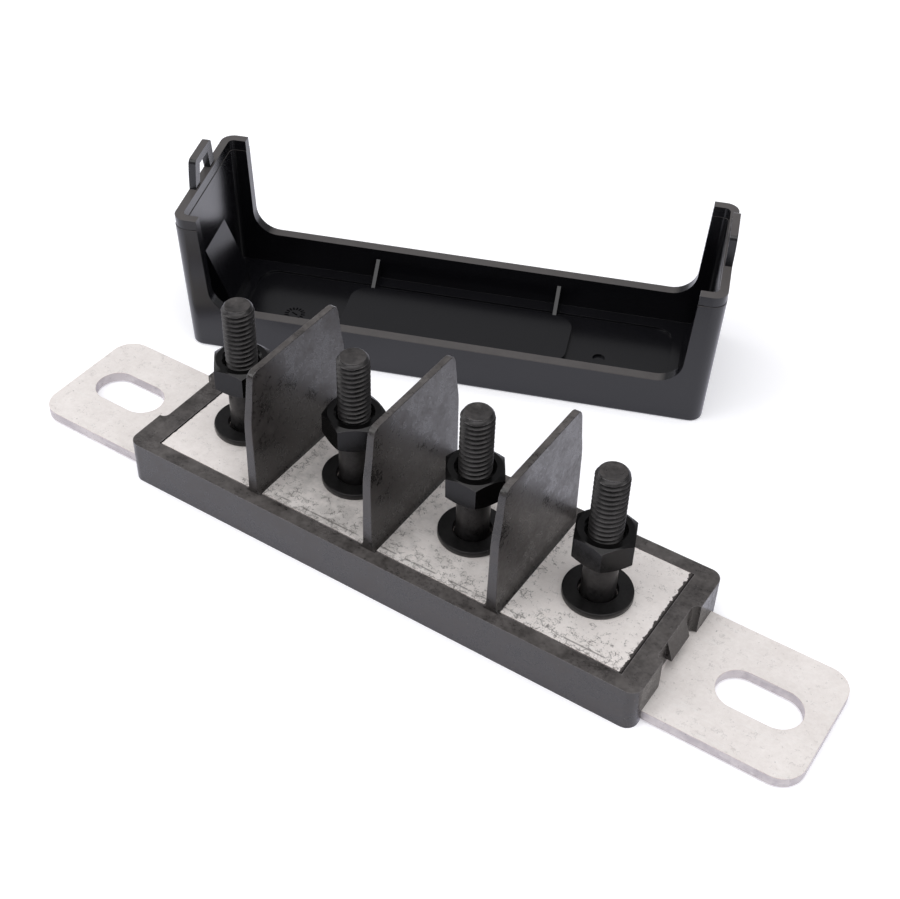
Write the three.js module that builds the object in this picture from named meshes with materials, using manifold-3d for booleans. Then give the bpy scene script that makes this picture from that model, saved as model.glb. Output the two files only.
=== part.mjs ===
// Four-stud power distribution busbar with its clip-on cover lying upside down behind it.
// Millimetres, +Z up. The origin is the centre of the base's underside, +X runs along the bar.
import * as THREE from 'three';
import { mergeVertices } from 'three/addons/utils/BufferGeometryUtils.js';
import Module from 'manifold-3d';

const wasm = await Module();
wasm.setup();

// Clearances and overruns
const cutOverrun = 2;
const mouldClearance = 0.15;
const runningClearance = 0.3;
const burial = 0.6;

// Base moulding
const baseEndMargin = 15.7;
const sideRail = 2.85;
const baseHeight = 8.9;
const baseCornerRadius = 2.2;
const baseEdgeBevel = 0.25;
const leftRail = 5.5;
const rightRail = 4.6;

// Catch recess and wedge at each end of the base
const recessDepth = 1.3;
const recessWidth = 14.1;
const wedgeWidth = 5.8;
const wedgeUnderside = 4.7;
const wedgeLip = 0.35;

// Copper bar
const barWidth = 26;
const barThickness = 2;
const barTop = 9;
const tabLength = 26.8;
const tabUnderside = 0.4;
const tabCornerRadius = 4.5;
const tabBendGap = 0.1;

// Slot in each tab
const slotLength = 15.2;
const slotWidth = 8.4;
const slotCentreToTabEnd = 11.9;

// Stud row
const studPitch = 25;
const studRowShift = -0.3;
const studCount = 4;

// Stud, a partly threaded hexagon-head bolt entered from below
const threadDiameter = 5.9;
const threadPitch = 1;
const threadDepth = 0.56;
const threadLength = 18;
const shankDiameter = 6;
const studLength = 30;
const studEndDiameter = 4.66;
const studEndChamfer = 0.8;
const studCupDiameter = 3.4;
const studCupDepth = 0.2;
const headAcrossFlats = 10;
const headHeight = 4;
const headChamferShare = 0.6;

// Flat washer
const washerDiameter = 12.3;
const washerFit = 0.4;
const washerThickness = 1.2;

// Hexagon nut part-way up each stud
const nutAcrossFlats = 10;
const nutHeight = 5.2;
const nutChamferDiameter = 9.5;
const nutChamferDrop = 0.62;
const nutCountersinkDiameter = 7.2;

// Dividing barriers between the studs
const barrierHeight = 26.3;
const barrierOverhang = 0.6;
const barrierLean = 1.4;
const barrierShoulderHeight = 14.5;
const barrierCornerRadius = 1.8;
const barrierFootThickness = 1.9;
const barrierTopThickness = 1.3;
const barrierFillet = 0.6;
const barrierFilletHeight = 1.1;
const barrierShift = -0.3;
const anchorLength = 14;
const anchorThickness = 1.2;

// Cover, in its own frame: outside of its roof on z = 0, rim on top
const coverEndDraft = 1;
const coverSideDraft = 1.15;
const coverSideStep = 0.65;
const coverHeadroom = 0.7;
const coverCornerRadius = 2.7;
const coverEdgeBevel = 0.5;
const coverSideWall = 2.05;
const coverEndWall = 1.8;
const coverBorderThickness = 2.5;
const coverX = -26.45;
const coverGap = 3.97;
const coverTurn = 20.8;

// Cable cut-out in each long wall of the cover
const postWidth = 4.8;
const cutoutSill = 9.5;
const cutoutCornerRadius = 5;

// Panel and label field in the cover's roof
const panelEndBorder = 8.07;
const panelSideBorder = 5;
const panelThickness = 2;
const panelCornerRadius = 4;
const labelEndBorder = 21.2;
const labelSideBorder = 2.5;
const labelCornerRadius = 4;
const labelStep = 1.5;

// Stiffening gussets inside the cover's long walls
const gussetThickness = 0.8;
const gussetHeight = 7.1;
const gussetReach = 5.4;
const gussetSpacing = 40;

// Clip loop rising from each end of the cover
const loopThickness = 1.5;
const loopClearance = 0.88;
const loopHeight = 6;
const loopFootWidth = 11.2;
const loopTopWidth = 9;
const loopWindowWidth = 6.4;
const loopWindowTopWidth = 4.6;
const loopWindowHeight = 4.2;

// Finger scoop in each end of the cover
const scoopRidgeHeight = 17.4;
const scoopRidgeWidth = 12;
const scoopReach = 4.9;
const scoopFaceShare = 0.85;
const scoopWall = 1.7;

// Counts of steps on round faces
const cornerSteps = 4;
const curveSteps = 5;
const threadSteps = 12;
const roundSteps = 24;
const washerSteps = 18;
const tabSteps = 6;
const slotSteps = 12;
const bevelSteps = 2;

// Height of each nut above the bar, and its turn about the stud in degrees
const nutRises = [10.9, 10.45, 10.7, 10.2];
const nutTurns = [38.2, 5.1, 32.8, 22.2];

const half = (size) => size / 2;
const radians = THREE.MathUtils.degToRad;
const hexagonCorner = (acrossFlats) => acrossFlats / Math.sqrt(3);
const baseLength = (studCount - 1) * studPitch + 2 * baseEndMargin;
const baseWidth = barWidth + 2 * sideRail + 2 * mouldClearance;
const baseEnd = half(baseLength);
const barLength = baseLength + 2 * tabLength;
const barUnderside = barTop - barThickness;
const tabTop = tabUnderside + barThickness;
const studTop = barUnderside + studLength;
const studBottom = barUnderside - headHeight;
const threadStart = studTop - threadLength;
const windowLeft = -baseEnd + leftRail;
const windowRight = baseEnd - rightRail;
const barrierFootWidth = barWidth + 2 * barrierOverhang;
const barrierTopWidth = barrierFootWidth - 2 * barrierLean;
const washerBore = Math.max(shankDiameter, threadDiameter) + 2 * washerFit;
const nutBore = threadDiameter + 2 * runningClearance;
const coverRimLength = baseLength + 2 * (loopThickness + loopClearance - recessDepth);
const coverRoofLength = coverRimLength - 2 * coverEndDraft;
const coverRimWidth = baseWidth + 2 * coverSideStep;
const coverRoofWidth = coverRimWidth - 2 * coverSideDraft;
const coverDepth = studTop - baseHeight + coverBorderThickness + coverHeadroom;
const coverSlant = radians(coverTurn);
const coverEndReach = half(coverRimLength) * Math.sin(coverSlant);
const coverSideReach = half(coverRimWidth) * Math.cos(coverSlant);
const coverY = half(baseWidth) + coverGap + coverEndReach + coverSideReach;
const panelLength = coverRoofLength - 2 * panelEndBorder;
const panelWidth = coverRoofWidth - 2 * panelSideBorder;
const labelLength = panelLength - 2 * labelEndBorder;
const labelWidth = panelWidth - 2 * labelSideBorder;
const scoopDrop = (scoopRidgeHeight - coverBorderThickness) * scoopFaceShare;

const studX = (index) => studRowShift + (index - half(studCount - 1)) * studPitch;
const barrierX = (index) => barrierShift + half(studX(index) + studX(index + 1));

// Solids: closed meshes with shared corners, and back
function toSolid(geometry) {
  const plain = geometry.index ? geometry.toNonIndexed() : geometry.clone();
  plain.deleteAttribute('normal');
  plain.deleteAttribute('uv');
  const merged = mergeVertices(plain);
  const mesh = new wasm.Mesh({
    numProp: 3,
    vertProperties: new Float32Array(merged.attributes.position.array),
    triVerts: new Uint32Array(merged.index.array),
  });
  mesh.merge();
  return new wasm.Manifold(mesh);
}

function toGeometry(solid) {
  const mesh = solid.getMesh();
  const points = new Float32Array(mesh.numVert * 3);
  for (let i = 0; i < mesh.numVert; i += 1) {
    for (let axis = 0; axis < 3; axis += 1) {
      points[i * 3 + axis] = mesh.vertProperties[i * mesh.numProp + axis];
    }
  }
  const geometry = new THREE.BufferGeometry();
  geometry.setAttribute('position', new THREE.BufferAttribute(points, 3));
  geometry.setIndex(Array.from(mesh.triVerts));
  geometry.computeVertexNormals();
  return geometry;
}

// Outlines
function outline(points) {
  return new THREE.Shape(points.map(([x, y]) => new THREE.Vector2(x, y)));
}

function roundedRectangle(length, width, radius) {
  const x = half(length) - radius;
  const y = half(width) - radius;
  const shape = new THREE.Shape();
  shape.absarc(x, y, radius, 0, half(Math.PI), false);
  shape.absarc(-x, y, radius, half(Math.PI), Math.PI, false);
  shape.absarc(-x, -y, radius, Math.PI, Math.PI * 1.5, false);
  shape.absarc(x, -y, radius, Math.PI * 1.5, Math.PI * 2, false);
  shape.closePath();
  return shape;
}

function hexagon(acrossFlats) {
  const corner = hexagonCorner(acrossFlats);
  const points = [];
  for (let i = 0; i < 6; i += 1) {
    const angle = (i * Math.PI) / 3 - half(Math.PI);
    points.push([corner * Math.cos(angle), corner * Math.sin(angle)]);
  }
  return outline(points);
}

// Prisms: an outline in plan, one seen from the front (x, z) and one seen from the end (y, z)
function prismUp(shape, bottom, top, steps = cornerSteps) {
  const geometry = new THREE.ExtrudeGeometry(shape, {
    depth: top - bottom,
    bevelEnabled: false,
    curveSegments: steps,
  });
  return geometry.translate(0, 0, bottom);
}

function prismAcross(shape, width, centre = 0, steps = curveSteps) {
  const geometry = new THREE.ExtrudeGeometry(shape, {
    depth: width,
    bevelEnabled: false,
    curveSegments: steps,
  });
  geometry.rotateX(half(Math.PI));
  return geometry.translate(0, centre + half(width), 0);
}

function prismAlong(shape, length, centre = 0, steps = curveSteps) {
  const geometry = new THREE.ExtrudeGeometry(shape, {
    depth: length,
    bevelEnabled: false,
    curveSegments: steps,
  });
  geometry.rotateX(half(Math.PI));
  geometry.rotateZ(half(Math.PI));
  return geometry.translate(centre - half(length), 0, 0);
}

function block(minX, maxX, minY, maxY, minZ, maxZ) {
  const geometry = new THREE.BoxGeometry(maxX - minX, maxY - minY, maxZ - minZ);
  return geometry.translate(half(minX + maxX), half(minY + maxY), half(minZ + maxZ));
}

// A turned form about Z from [radius, height] points that start and end on the axis
function turned(points, steps = roundSteps) {
  const profile = points.map(([radius, height]) => new THREE.Vector2(radius, height));
  return new THREE.LatheGeometry(profile, steps).rotateX(half(Math.PI));
}

function drum(radius, bottom, top, steps = roundSteps) {
  return turned([[0, bottom], [radius, bottom], [radius, top], [0, top]], steps);
}

function moved(solid, x, y, z) {
  return solid.translate([x, y, z]);
}

// Copper bar: flat over the base, stepped down at each end to a tab near the mounting surface
function bendSlope(windowEnd) {
  const run = baseEnd + tabBendGap - Math.abs(windowEnd);
  return Math.atan2(barTop - tabTop, run);
}

function barSide() {
  const bendEnd = baseEnd + tabBendGap;
  const leftInset = barThickness * Math.tan(half(bendSlope(windowLeft)));
  const rightInset = barThickness * Math.tan(half(bendSlope(windowRight)));
  const tip = half(barLength);
  return outline([
    [-tip, tabUnderside],
    [-bendEnd + leftInset, tabUnderside],
    [windowLeft + leftInset, barUnderside],
    [windowRight - rightInset, barUnderside],
    [bendEnd - rightInset, tabUnderside],
    [tip, tabUnderside],
    [tip, tabTop],
    [bendEnd, tabTop],
    [windowRight, barTop],
    [windowLeft, barTop],
    [-bendEnd, tabTop],
    [-tip, tabTop],
  ]);
}

function slotOutline() {
  return roundedRectangle(slotLength, slotWidth, half(slotWidth));
}

function anchorBlock(clearance) {
  const x = half(anchorThickness) + clearance;
  const y = half(anchorLength) + clearance;
  return block(-x, x, -y, y, barUnderside - burial, barTop + burial);
}

function makeBar() {
  const plan = roundedRectangle(barLength, barWidth, tabCornerRadius);
  let bar = toSolid(prismAcross(barSide(), barWidth + cutOverrun));
  const planPrism = prismUp(plan, tabUnderside - cutOverrun, barTop + cutOverrun, tabSteps);
  bar = bar.intersect(toSolid(planPrism));
  const slot = toSolid(prismUp(slotOutline(), tabUnderside - cutOverrun, tabTop + cutOverrun, slotSteps));
  const slotX = half(barLength) - slotCentreToTabEnd;
  bar = bar.subtract(moved(slot, slotX, 0, 0)).subtract(moved(slot, -slotX, 0, 0));
  const holeRadius = half(shankDiameter) + runningClearance;
  const hole = toSolid(drum(holeRadius, barUnderside - cutOverrun, barTop + cutOverrun));
  for (let i = 0; i < studCount; i += 1) {
    bar = bar.subtract(moved(hole, studX(i), 0, 0));
  }
  const anchorHole = toSolid(anchorBlock(mouldClearance));
  for (let i = 0; i < studCount - 1; i += 1) {
    bar = bar.subtract(moved(anchorHole, barrierX(i), 0, 0));
  }
  return bar;
}

// Channel that the bar lies in: open on top between the end rails, open below under the tabs
function barChannel() {
  const far = half(barLength);
  const bendEnd = baseEnd + tabBendGap;
  const low = -cutOverrun;
  const leftSlope = bendSlope(windowLeft);
  const rightSlope = bendSlope(windowRight);
  const leftEdge = windowLeft + barThickness * Math.tan(half(leftSlope)) + mouldClearance;
  const rightEdge = windowRight - barThickness * Math.tan(half(rightSlope)) - mouldClearance;
  const fall = barUnderside - low;
  const shape = outline([
    [-far, low],
    [leftEdge - fall / Math.tan(leftSlope), low],
    [leftEdge, barUnderside],
    [rightEdge, barUnderside],
    [rightEdge + fall / Math.tan(rightSlope), low],
    [far, low],
    [far, tabTop + mouldClearance],
    [bendEnd + mouldClearance, tabTop + mouldClearance],
    [windowRight + mouldClearance, barTop + mouldClearance],
    [windowRight + mouldClearance, barTop + cutOverrun],
    [windowLeft - mouldClearance, barTop + cutOverrun],
    [windowLeft - mouldClearance, barTop + mouldClearance],
    [-bendEnd - mouldClearance, tabTop + mouldClearance],
    [-far, tabTop + mouldClearance],
  ]);
  return prismAcross(shape, barWidth + 2 * mouldClearance);
}

// Barrier seen from the end: upright sides that lean in above the shoulder, rounded top corners
function barrierProfile() {
  const foot = half(barrierFootWidth);
  const top = half(barrierTopWidth);
  const shoulder = barTop + barrierShoulderHeight;
  const peak = barTop + barrierHeight;
  const lean = peak - barrierCornerRadius;
  const shape = new THREE.Shape();
  shape.moveTo(-foot, baseHeight - burial);
  shape.lineTo(-half(barWidth) - mouldClearance, baseHeight - burial);
  shape.lineTo(-half(barWidth) - mouldClearance, barTop);
  shape.lineTo(half(barWidth) + mouldClearance, barTop);
  shape.lineTo(half(barWidth) + mouldClearance, baseHeight - burial);
  shape.lineTo(foot, baseHeight - burial);
  shape.lineTo(foot, shoulder);
  shape.quadraticCurveTo(foot, half(shoulder + lean), top, lean);
  shape.quadraticCurveTo(half(top + top - barrierFillet), peak, top - barrierCornerRadius, peak);
  shape.lineTo(-top + barrierCornerRadius, peak);
  shape.quadraticCurveTo(-half(top + top - barrierFillet), peak, -top, lean);
  shape.quadraticCurveTo(-foot, half(shoulder + lean), -foot, shoulder);
  shape.closePath();
  return shape;
}

function makeBarrier() {
  const wall = prismAlong(barrierProfile(), barrierFootThickness);
  const points = wall.attributes.position;
  const thinning = (barrierFootThickness - barrierTopThickness) / barrierFootThickness;
  for (let i = 0; i < points.count; i += 1) {
    const share = (points.getZ(i) - barTop) / barrierHeight;
    points.setX(i, points.getX(i) * (1 - thinning * Math.max(share, 0)));
  }
  const footHalf = half(barrierFootThickness) + barrierFillet;
  const fillet = outline([
    [-footHalf, barTop],
    [footHalf, barTop],
    [half(barrierFootThickness - burial), barTop + barrierFilletHeight],
    [-half(barrierFootThickness - burial), barTop + barrierFilletHeight],
  ]);
  const foot = toSolid(prismAcross(fillet, barWidth));
  return toSolid(wall).add(foot).add(toSolid(anchorBlock(0)));
}

// Sloped wedge in the recess at the right-hand end, which the cover's loop clips over
function makeWedge() {
  const wall = baseEnd - recessDepth;
  const shape = outline([
    [wall - burial, wedgeUnderside],
    [baseEnd, wedgeUnderside],
    [baseEnd, wedgeUnderside + wedgeLip],
    [wall, baseHeight],
    [wall - burial, baseHeight],
  ]);
  return toSolid(prismAcross(shape, wedgeWidth));
}

function makeBase() {
  const shape = roundedRectangle(
    baseLength - 2 * baseEdgeBevel,
    baseWidth - 2 * baseEdgeBevel,
    baseCornerRadius - baseEdgeBevel,
  );
  const body = new THREE.ExtrudeGeometry(shape, {
    depth: baseHeight - 2 * baseEdgeBevel,
    bevelEnabled: true,
    bevelThickness: baseEdgeBevel,
    bevelSize: baseEdgeBevel,
    bevelSegments: 1,
    curveSegments: cornerSteps,
  }).translate(0, 0, baseEdgeBevel);
  let base = toSolid(body);
  const recess = toSolid(block(
    baseEnd - recessDepth,
    baseEnd + cutOverrun,
    -half(recessWidth),
    half(recessWidth),
    -cutOverrun,
    baseHeight + cutOverrun,
  ));
  const wedge = makeWedge();
  base = base.subtract(recess).subtract(recess.mirror([1, 0, 0]));
  base = base.add(wedge).add(wedge.mirror([1, 0, 0]));
  base = base.subtract(toSolid(barChannel()));
  const pocketShape = hexagon(headAcrossFlats + 2 * runningClearance);
  const pocket = toSolid(prismUp(pocketShape, -cutOverrun, barTop - half(barThickness)));
  for (let i = 0; i < studCount; i += 1) {
    base = base.subtract(moved(pocket, studX(i), 0, 0));
  }
  const barrier = makeBarrier();
  for (let i = 0; i < studCount - 1; i += 1) {
    base = base.add(moved(barrier, barrierX(i), 0, 0));
  }
  return base;
}

// Threaded rod: one helical ridge, closed at both ends by a fan to the axis
function threadedRod(bottom, top) {
  const crest = half(threadDiameter);
  const root = crest - threadDepth;
  const turns = Math.ceil((top - bottom) / threadPitch) + 1;
  const rows = 2 * turns;
  const points = [];
  for (let row = 0; row <= rows; row += 1) {
    for (let step = 0; step < threadSteps; step += 1) {
      const angle = (step / threadSteps) * Math.PI * 2;
      const radius = row % 2 === 0 ? root : crest;
      const height = bottom + (row / 2 + step / threadSteps - 1) * threadPitch;
      points.push(radius * Math.cos(angle), radius * Math.sin(angle), height);
    }
  }
  const at = (row, step) => row * threadSteps + step;
  const next = (row, step) => (step + 1 < threadSteps ? at(row, step + 1) : at(row + 2, 0));
  const faces = [];
  for (let row = 0; row < rows; row += 1) {
    for (let step = 0; step < threadSteps; step += 1) {
      if (step + 1 < threadSteps || row + 3 <= rows) {
        faces.push(at(row, step), next(row, step), next(row + 1, step));
        faces.push(at(row, step), next(row + 1, step), at(row + 1, step));
      }
    }
  }
  const low = points.length / 3;
  points.push(0, 0, bottom - threadPitch);
  const high = low + 1;
  points.push(0, 0, bottom + (turns + 1) * threadPitch);
  const lowEdge = [];
  const highEdge = [];
  for (let step = 0; step < threadSteps; step += 1) {
    lowEdge.push(at(0, step));
    highEdge.push(at(rows, step));
  }
  lowEdge.push(at(2, 0), at(1, 0));
  highEdge.push(at(rows - 1, threadSteps - 1), at(rows - 2, threadSteps - 1));
  lowEdge.forEach((corner, i) => {
    faces.push(low, lowEdge[(i + 1) % lowEdge.length], corner);
  });
  highEdge.forEach((corner, i) => {
    faces.push(high, corner, highEdge[(i + 1) % highEdge.length]);
  });
  const geometry = new THREE.BufferGeometry();
  geometry.setAttribute('position', new THREE.Float32BufferAttribute(points, 3));
  geometry.setIndex(faces);
  return geometry;
}

function makeStud() {
  const crest = half(threadDiameter);
  const root = crest - threadDepth;
  const envelope = toSolid(turned([
    [0, threadStart - threadPitch],
    [crest + cutOverrun, threadStart - threadPitch],
    [crest + cutOverrun, studTop - studEndChamfer - cutOverrun],
    [crest, studTop - studEndChamfer],
    [half(studEndDiameter), studTop],
    [half(studCupDiameter), studTop],
    [0, studTop - studCupDepth],
  ], roundSteps));
  const thread = toSolid(threadedRod(threadStart - threadPitch, studTop + threadPitch));
  const shank = toSolid(turned([
    [0, studBottom],
    [half(shankDiameter), studBottom],
    [half(shankDiameter), threadStart],
    [root, threadStart + threadPitch],
    [0, threadStart + threadPitch],
  ]));
  const headCorner = hexagonCorner(headAcrossFlats);
  const headRound = toSolid(turned([
    [0, studBottom],
    [half(headAcrossFlats), studBottom],
    [headCorner, studBottom + (headCorner - half(headAcrossFlats)) * headChamferShare],
    [headCorner, barUnderside],
    [0, barUnderside],
  ]));
  const head = toSolid(prismUp(hexagon(headAcrossFlats), studBottom, barUnderside));
  return thread.intersect(envelope).add(shank).add(head.intersect(headRound));
}

function makeWasher() {
  const ring = new THREE.Shape();
  ring.absarc(0, 0, half(washerDiameter), 0, Math.PI * 2, false);
  const bore = new THREE.Path();
  bore.absarc(0, 0, half(washerBore), 0, Math.PI * 2, true);
  ring.holes.push(bore);
  return toSolid(prismUp(ring, barTop, barTop + washerThickness, washerSteps));
}

function makeNut() {
  const corner = hexagonCorner(nutAcrossFlats);
  const chamfer = half(nutChamferDiameter);
  const rim = corner + cutOverrun;
  const drop = (nutChamferDrop * (rim - chamfer)) / (corner - chamfer);
  const round = toSolid(turned([
    [0, 0],
    [chamfer, 0],
    [rim, drop],
    [rim, nutHeight - drop],
    [chamfer, nutHeight],
    [0, nutHeight],
  ]));
  const mouth = half(nutCountersinkDiameter);
  const bore = half(nutBore);
  const hole = toSolid(turned([
    [0, -cutOverrun],
    [mouth, -cutOverrun],
    [mouth, 0],
    [bore, mouth - bore],
    [bore, nutHeight - (mouth - bore)],
    [mouth, nutHeight],
    [mouth, nutHeight + cutOverrun],
    [0, nutHeight + cutOverrun],
  ]));
  return toSolid(prismUp(hexagon(nutAcrossFlats), 0, nutHeight)).intersect(round).subtract(hole);
}

// Cover: half sizes of the outside at a height above the outside of its roof
function coverHalfLength(height) {
  return half(coverRoofLength + (coverRimLength - coverRoofLength) * (height / coverDepth));
}

function coverHalfWidth(height) {
  return half(coverRoofWidth + (coverRimWidth - coverRoofWidth) * (height / coverDepth));
}

// Draws a straight-sided form in toward the roof, keeping the same wall all the way
function drafted(geometry, endInset, sideInset) {
  const points = geometry.attributes.position;
  const rimX = half(coverRimLength) - endInset;
  const rimY = half(coverRimWidth) - sideInset;
  for (let i = 0; i < points.count; i += 1) {
    const height = points.getZ(i);
    points.setX(i, (points.getX(i) * (coverHalfLength(height) - endInset)) / rimX);
    points.setY(i, (points.getY(i) * (coverHalfWidth(height) - sideInset)) / rimY);
  }
  return geometry;
}

function coverShell() {
  const outer = new THREE.ExtrudeGeometry(
    roundedRectangle(
      coverRimLength - 2 * coverEdgeBevel,
      coverRimWidth - 2 * coverEdgeBevel,
      coverCornerRadius - coverEdgeBevel,
    ),
    {
      depth: coverDepth + cutOverrun,
      bevelEnabled: true,
      bevelThickness: coverEdgeBevel,
      bevelSize: coverEdgeBevel,
      bevelSegments: bevelSteps,
      curveSegments: cornerSteps,
    },
  ).translate(0, 0, coverEdgeBevel);
  const far = half(coverRimLength) + cutOverrun;
  const aboveRim = toSolid(block(-far, far, -far, far, coverDepth, coverDepth + far));
  const innerRadius = coverCornerRadius - half(coverSideWall);
  const inner = prismUp(
    roundedRectangle(
      coverRimLength - 2 * coverEndWall,
      coverRimWidth - 2 * coverSideWall,
      innerRadius,
    ),
    coverBorderThickness,
    coverDepth + cutOverrun,
  );
  const shell = toSolid(drafted(outer, 0, 0)).subtract(aboveRim);
  return shell.subtract(toSolid(drafted(inner, coverEndWall, coverSideWall)));
}

function cutoutOutline() {
  const x = half(coverRimLength) - postWidth;
  const top = coverDepth + cutOverrun;
  const shape = new THREE.Shape();
  shape.moveTo(x, top);
  shape.lineTo(-x, top);
  shape.lineTo(-x, cutoutSill + cutoutCornerRadius);
  shape.absarc(
    -x + cutoutCornerRadius,
    cutoutSill + cutoutCornerRadius,
    cutoutCornerRadius,
    Math.PI,
    Math.PI * 1.5,
    false,
  );
  shape.absarc(
    x - cutoutCornerRadius,
    cutoutSill + cutoutCornerRadius,
    cutoutCornerRadius,
    Math.PI * 1.5,
    Math.PI * 2,
    false,
  );
  shape.closePath();
  return shape;
}

// Clip loop at the right-hand end, flush with the outside of the end wall
function makeLoop() {
  const foot = half(loopFootWidth);
  const top = half(loopTopWidth);
  const window = half(loopWindowWidth);
  const windowTop = half(loopWindowTopWidth);
  const shape = outline([
    [-foot, coverDepth - burial],
    [foot, coverDepth - burial],
    [foot, coverDepth],
    [top, coverDepth + loopHeight],
    [-top, coverDepth + loopHeight],
    [-foot, coverDepth],
  ]);
  const opening = outline([
    [-window, coverDepth],
    [window, coverDepth],
    [windowTop, coverDepth + loopWindowHeight],
    [-windowTop, coverDepth + loopWindowHeight],
  ]);
  const centre = half(coverRimLength - loopThickness);
  const hole = toSolid(prismAlong(opening, loopThickness + cutOverrun, centre));
  return toSolid(prismAlong(shape, loopThickness, centre)).subtract(hole);
}

// Finger scoop at the right-hand end: a sloped hollow outside and the ridge it makes inside
function scoopForms() {
  const wallX = coverHalfLength(scoopRidgeHeight) - coverEndWall;
  const insideX = wallX - scoopReach;
  const slope = scoopDrop / scoopReach;
  const slopeLength = Math.hypot(scoopReach, scoopDrop);
  const floor = half(coverBorderThickness);
  const ridge = outline([
    [insideX, floor],
    [coverHalfLength(0) - half(coverEndWall), floor],
    [wallX + half(coverEndWall), scoopRidgeHeight],
    [wallX, scoopRidgeHeight],
    [insideX, scoopRidgeHeight - scoopDrop],
  ]);
  const startX = wallX + (scoopWall * scoopDrop) / slopeLength;
  const startZ = scoopRidgeHeight - (scoopWall * scoopReach) / slopeLength;
  const hollowX = insideX + scoopWall;
  const outsideX = half(coverRimLength) + cutOverrun;
  const hollow = outline([
    [hollowX, -cutOverrun],
    [outsideX, -cutOverrun],
    [outsideX, startZ + (outsideX - startX) * slope],
    [hollowX, startZ - (startX - hollowX) * slope],
  ]);
  return {
    ridge: toSolid(prismAcross(ridge, scoopRidgeWidth)),
    hollow: toSolid(prismAcross(hollow, scoopRidgeWidth - 2 * scoopWall)),
  };
}

function makeGusset() {
  const wall = coverHalfWidth(coverBorderThickness) - coverSideWall;
  const shape = outline([
    [wall - gussetReach, panelThickness - burial],
    [wall + half(coverSideWall), panelThickness - burial],
    [wall + half(coverSideWall), gussetHeight],
    [wall, gussetHeight],
    [wall - gussetReach, panelThickness + burial],
  ]);
  return toSolid(prismAlong(shape, gussetThickness));
}

function makeCover() {
  let cover = coverShell();
  const cutout = toSolid(prismAcross(cutoutOutline(), coverRimWidth + 2 * cutOverrun));
  cover = cover.subtract(cutout);
  const panel = roundedRectangle(panelLength, panelWidth, panelCornerRadius);
  cover = cover.subtract(toSolid(prismUp(panel, panelThickness, coverDepth)));
  const scoop = scoopForms();
  cover = cover.add(scoop.ridge).add(scoop.ridge.mirror([1, 0, 0]));
  const gusset = makeGusset();
  for (const side of [-1, 1]) {
    const placed = moved(gusset, side * half(gussetSpacing), 0, 0);
    cover = cover.add(placed).add(placed.mirror([0, 1, 0]));
  }
  const step = roundedRectangle(labelLength, labelWidth, labelCornerRadius);
  const field = roundedRectangle(
    labelLength - 2 * labelStep,
    labelWidth - 2 * labelStep,
    labelCornerRadius - labelStep,
  );
  const stepTop = panelThickness + labelStep;
  cover = cover.add(toSolid(prismUp(step, half(panelThickness), stepTop)));
  cover = cover.subtract(toSolid(prismUp(field, -cutOverrun, labelStep)));
  cover = cover.subtract(scoop.hollow).subtract(scoop.hollow.mirror([1, 0, 0]));
  const loop = makeLoop();
  return cover.add(loop).add(loop.mirror([1, 0, 0]));
}

// Finishes
const blackMoulding = { color: 0x39383b, roughness: 0.72, metalness: 0 };
const satinPlastic = { color: 0x2d2d33, roughness: 0.45, metalness: 0 };
const tinnedCopper = { color: 0xd9d3cd, roughness: 0.5, metalness: 0.75 };
const blackOxide = { color: 0x2b292b, roughness: 0.38, metalness: 0.8 };

function piece(name, solid, finish) {
  const mesh = new THREE.Mesh(toGeometry(solid), new THREE.MeshStandardMaterial(finish));
  mesh.name = name;
  return mesh;
}

const object = new THREE.Group();
object.name = 'busbar_with_cover';
object.add(piece('base', makeBase(), blackMoulding));
object.add(piece('busbar', makeBar(), tinnedCopper));

for (let i = 0; i < studCount; i += 1) {
  const station = new THREE.Group();
  station.position.set(studX(i), 0, 0);
  station.add(piece(`stud_${i + 1}`, makeStud(), blackOxide));
  station.add(piece(`washer_${i + 1}`, makeWasher(), blackOxide));
  const nut = piece(`nut_${i + 1}`, makeNut(), blackOxide);
  nut.position.z = barTop + nutRises[i % nutRises.length];
  nut.rotation.z = radians(nutTurns[i % nutTurns.length]);
  station.add(nut);
  object.add(station);
}

const coverGroup = new THREE.Group();
coverGroup.position.set(coverX, coverY, 0);
coverGroup.rotation.z = coverSlant;
coverGroup.add(piece('cover', makeCover(), satinPlastic));
object.add(coverGroup);

export default object;
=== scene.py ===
"""Looks of a four-stud busbar and its clip-on cover: camera, light, floor, fine shapes, finishes.

Sizes kept as fields are millimetres, except in finishes, lamps and the floor's fade, where they
are metres. Every Blender object is in metres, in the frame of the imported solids: the origin is
the centre of the base's underside and +X runs along the bar.
"""
import logging
import math
from collections.abc import Callable, Sequence
from dataclasses import dataclass
from enum import Enum

import bmesh
import bpy
from mathutils import Matrix, Vector


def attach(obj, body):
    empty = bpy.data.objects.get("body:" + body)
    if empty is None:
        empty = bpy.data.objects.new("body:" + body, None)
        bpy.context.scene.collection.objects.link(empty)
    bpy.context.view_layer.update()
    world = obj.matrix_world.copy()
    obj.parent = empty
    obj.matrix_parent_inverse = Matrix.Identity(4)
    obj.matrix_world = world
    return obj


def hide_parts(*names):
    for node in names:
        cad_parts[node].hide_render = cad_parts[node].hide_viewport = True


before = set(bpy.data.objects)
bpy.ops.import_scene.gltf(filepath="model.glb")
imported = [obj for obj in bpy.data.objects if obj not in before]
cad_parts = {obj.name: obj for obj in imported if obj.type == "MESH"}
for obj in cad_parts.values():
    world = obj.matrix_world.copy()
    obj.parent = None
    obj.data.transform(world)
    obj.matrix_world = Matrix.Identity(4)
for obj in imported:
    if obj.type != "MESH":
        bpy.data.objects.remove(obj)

MM = 0.001
WELD = 0.002 * MM  # Corners closer than this are one corner.
OVERRUN = 2  # How far a tool reaches past what it cuts.
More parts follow.
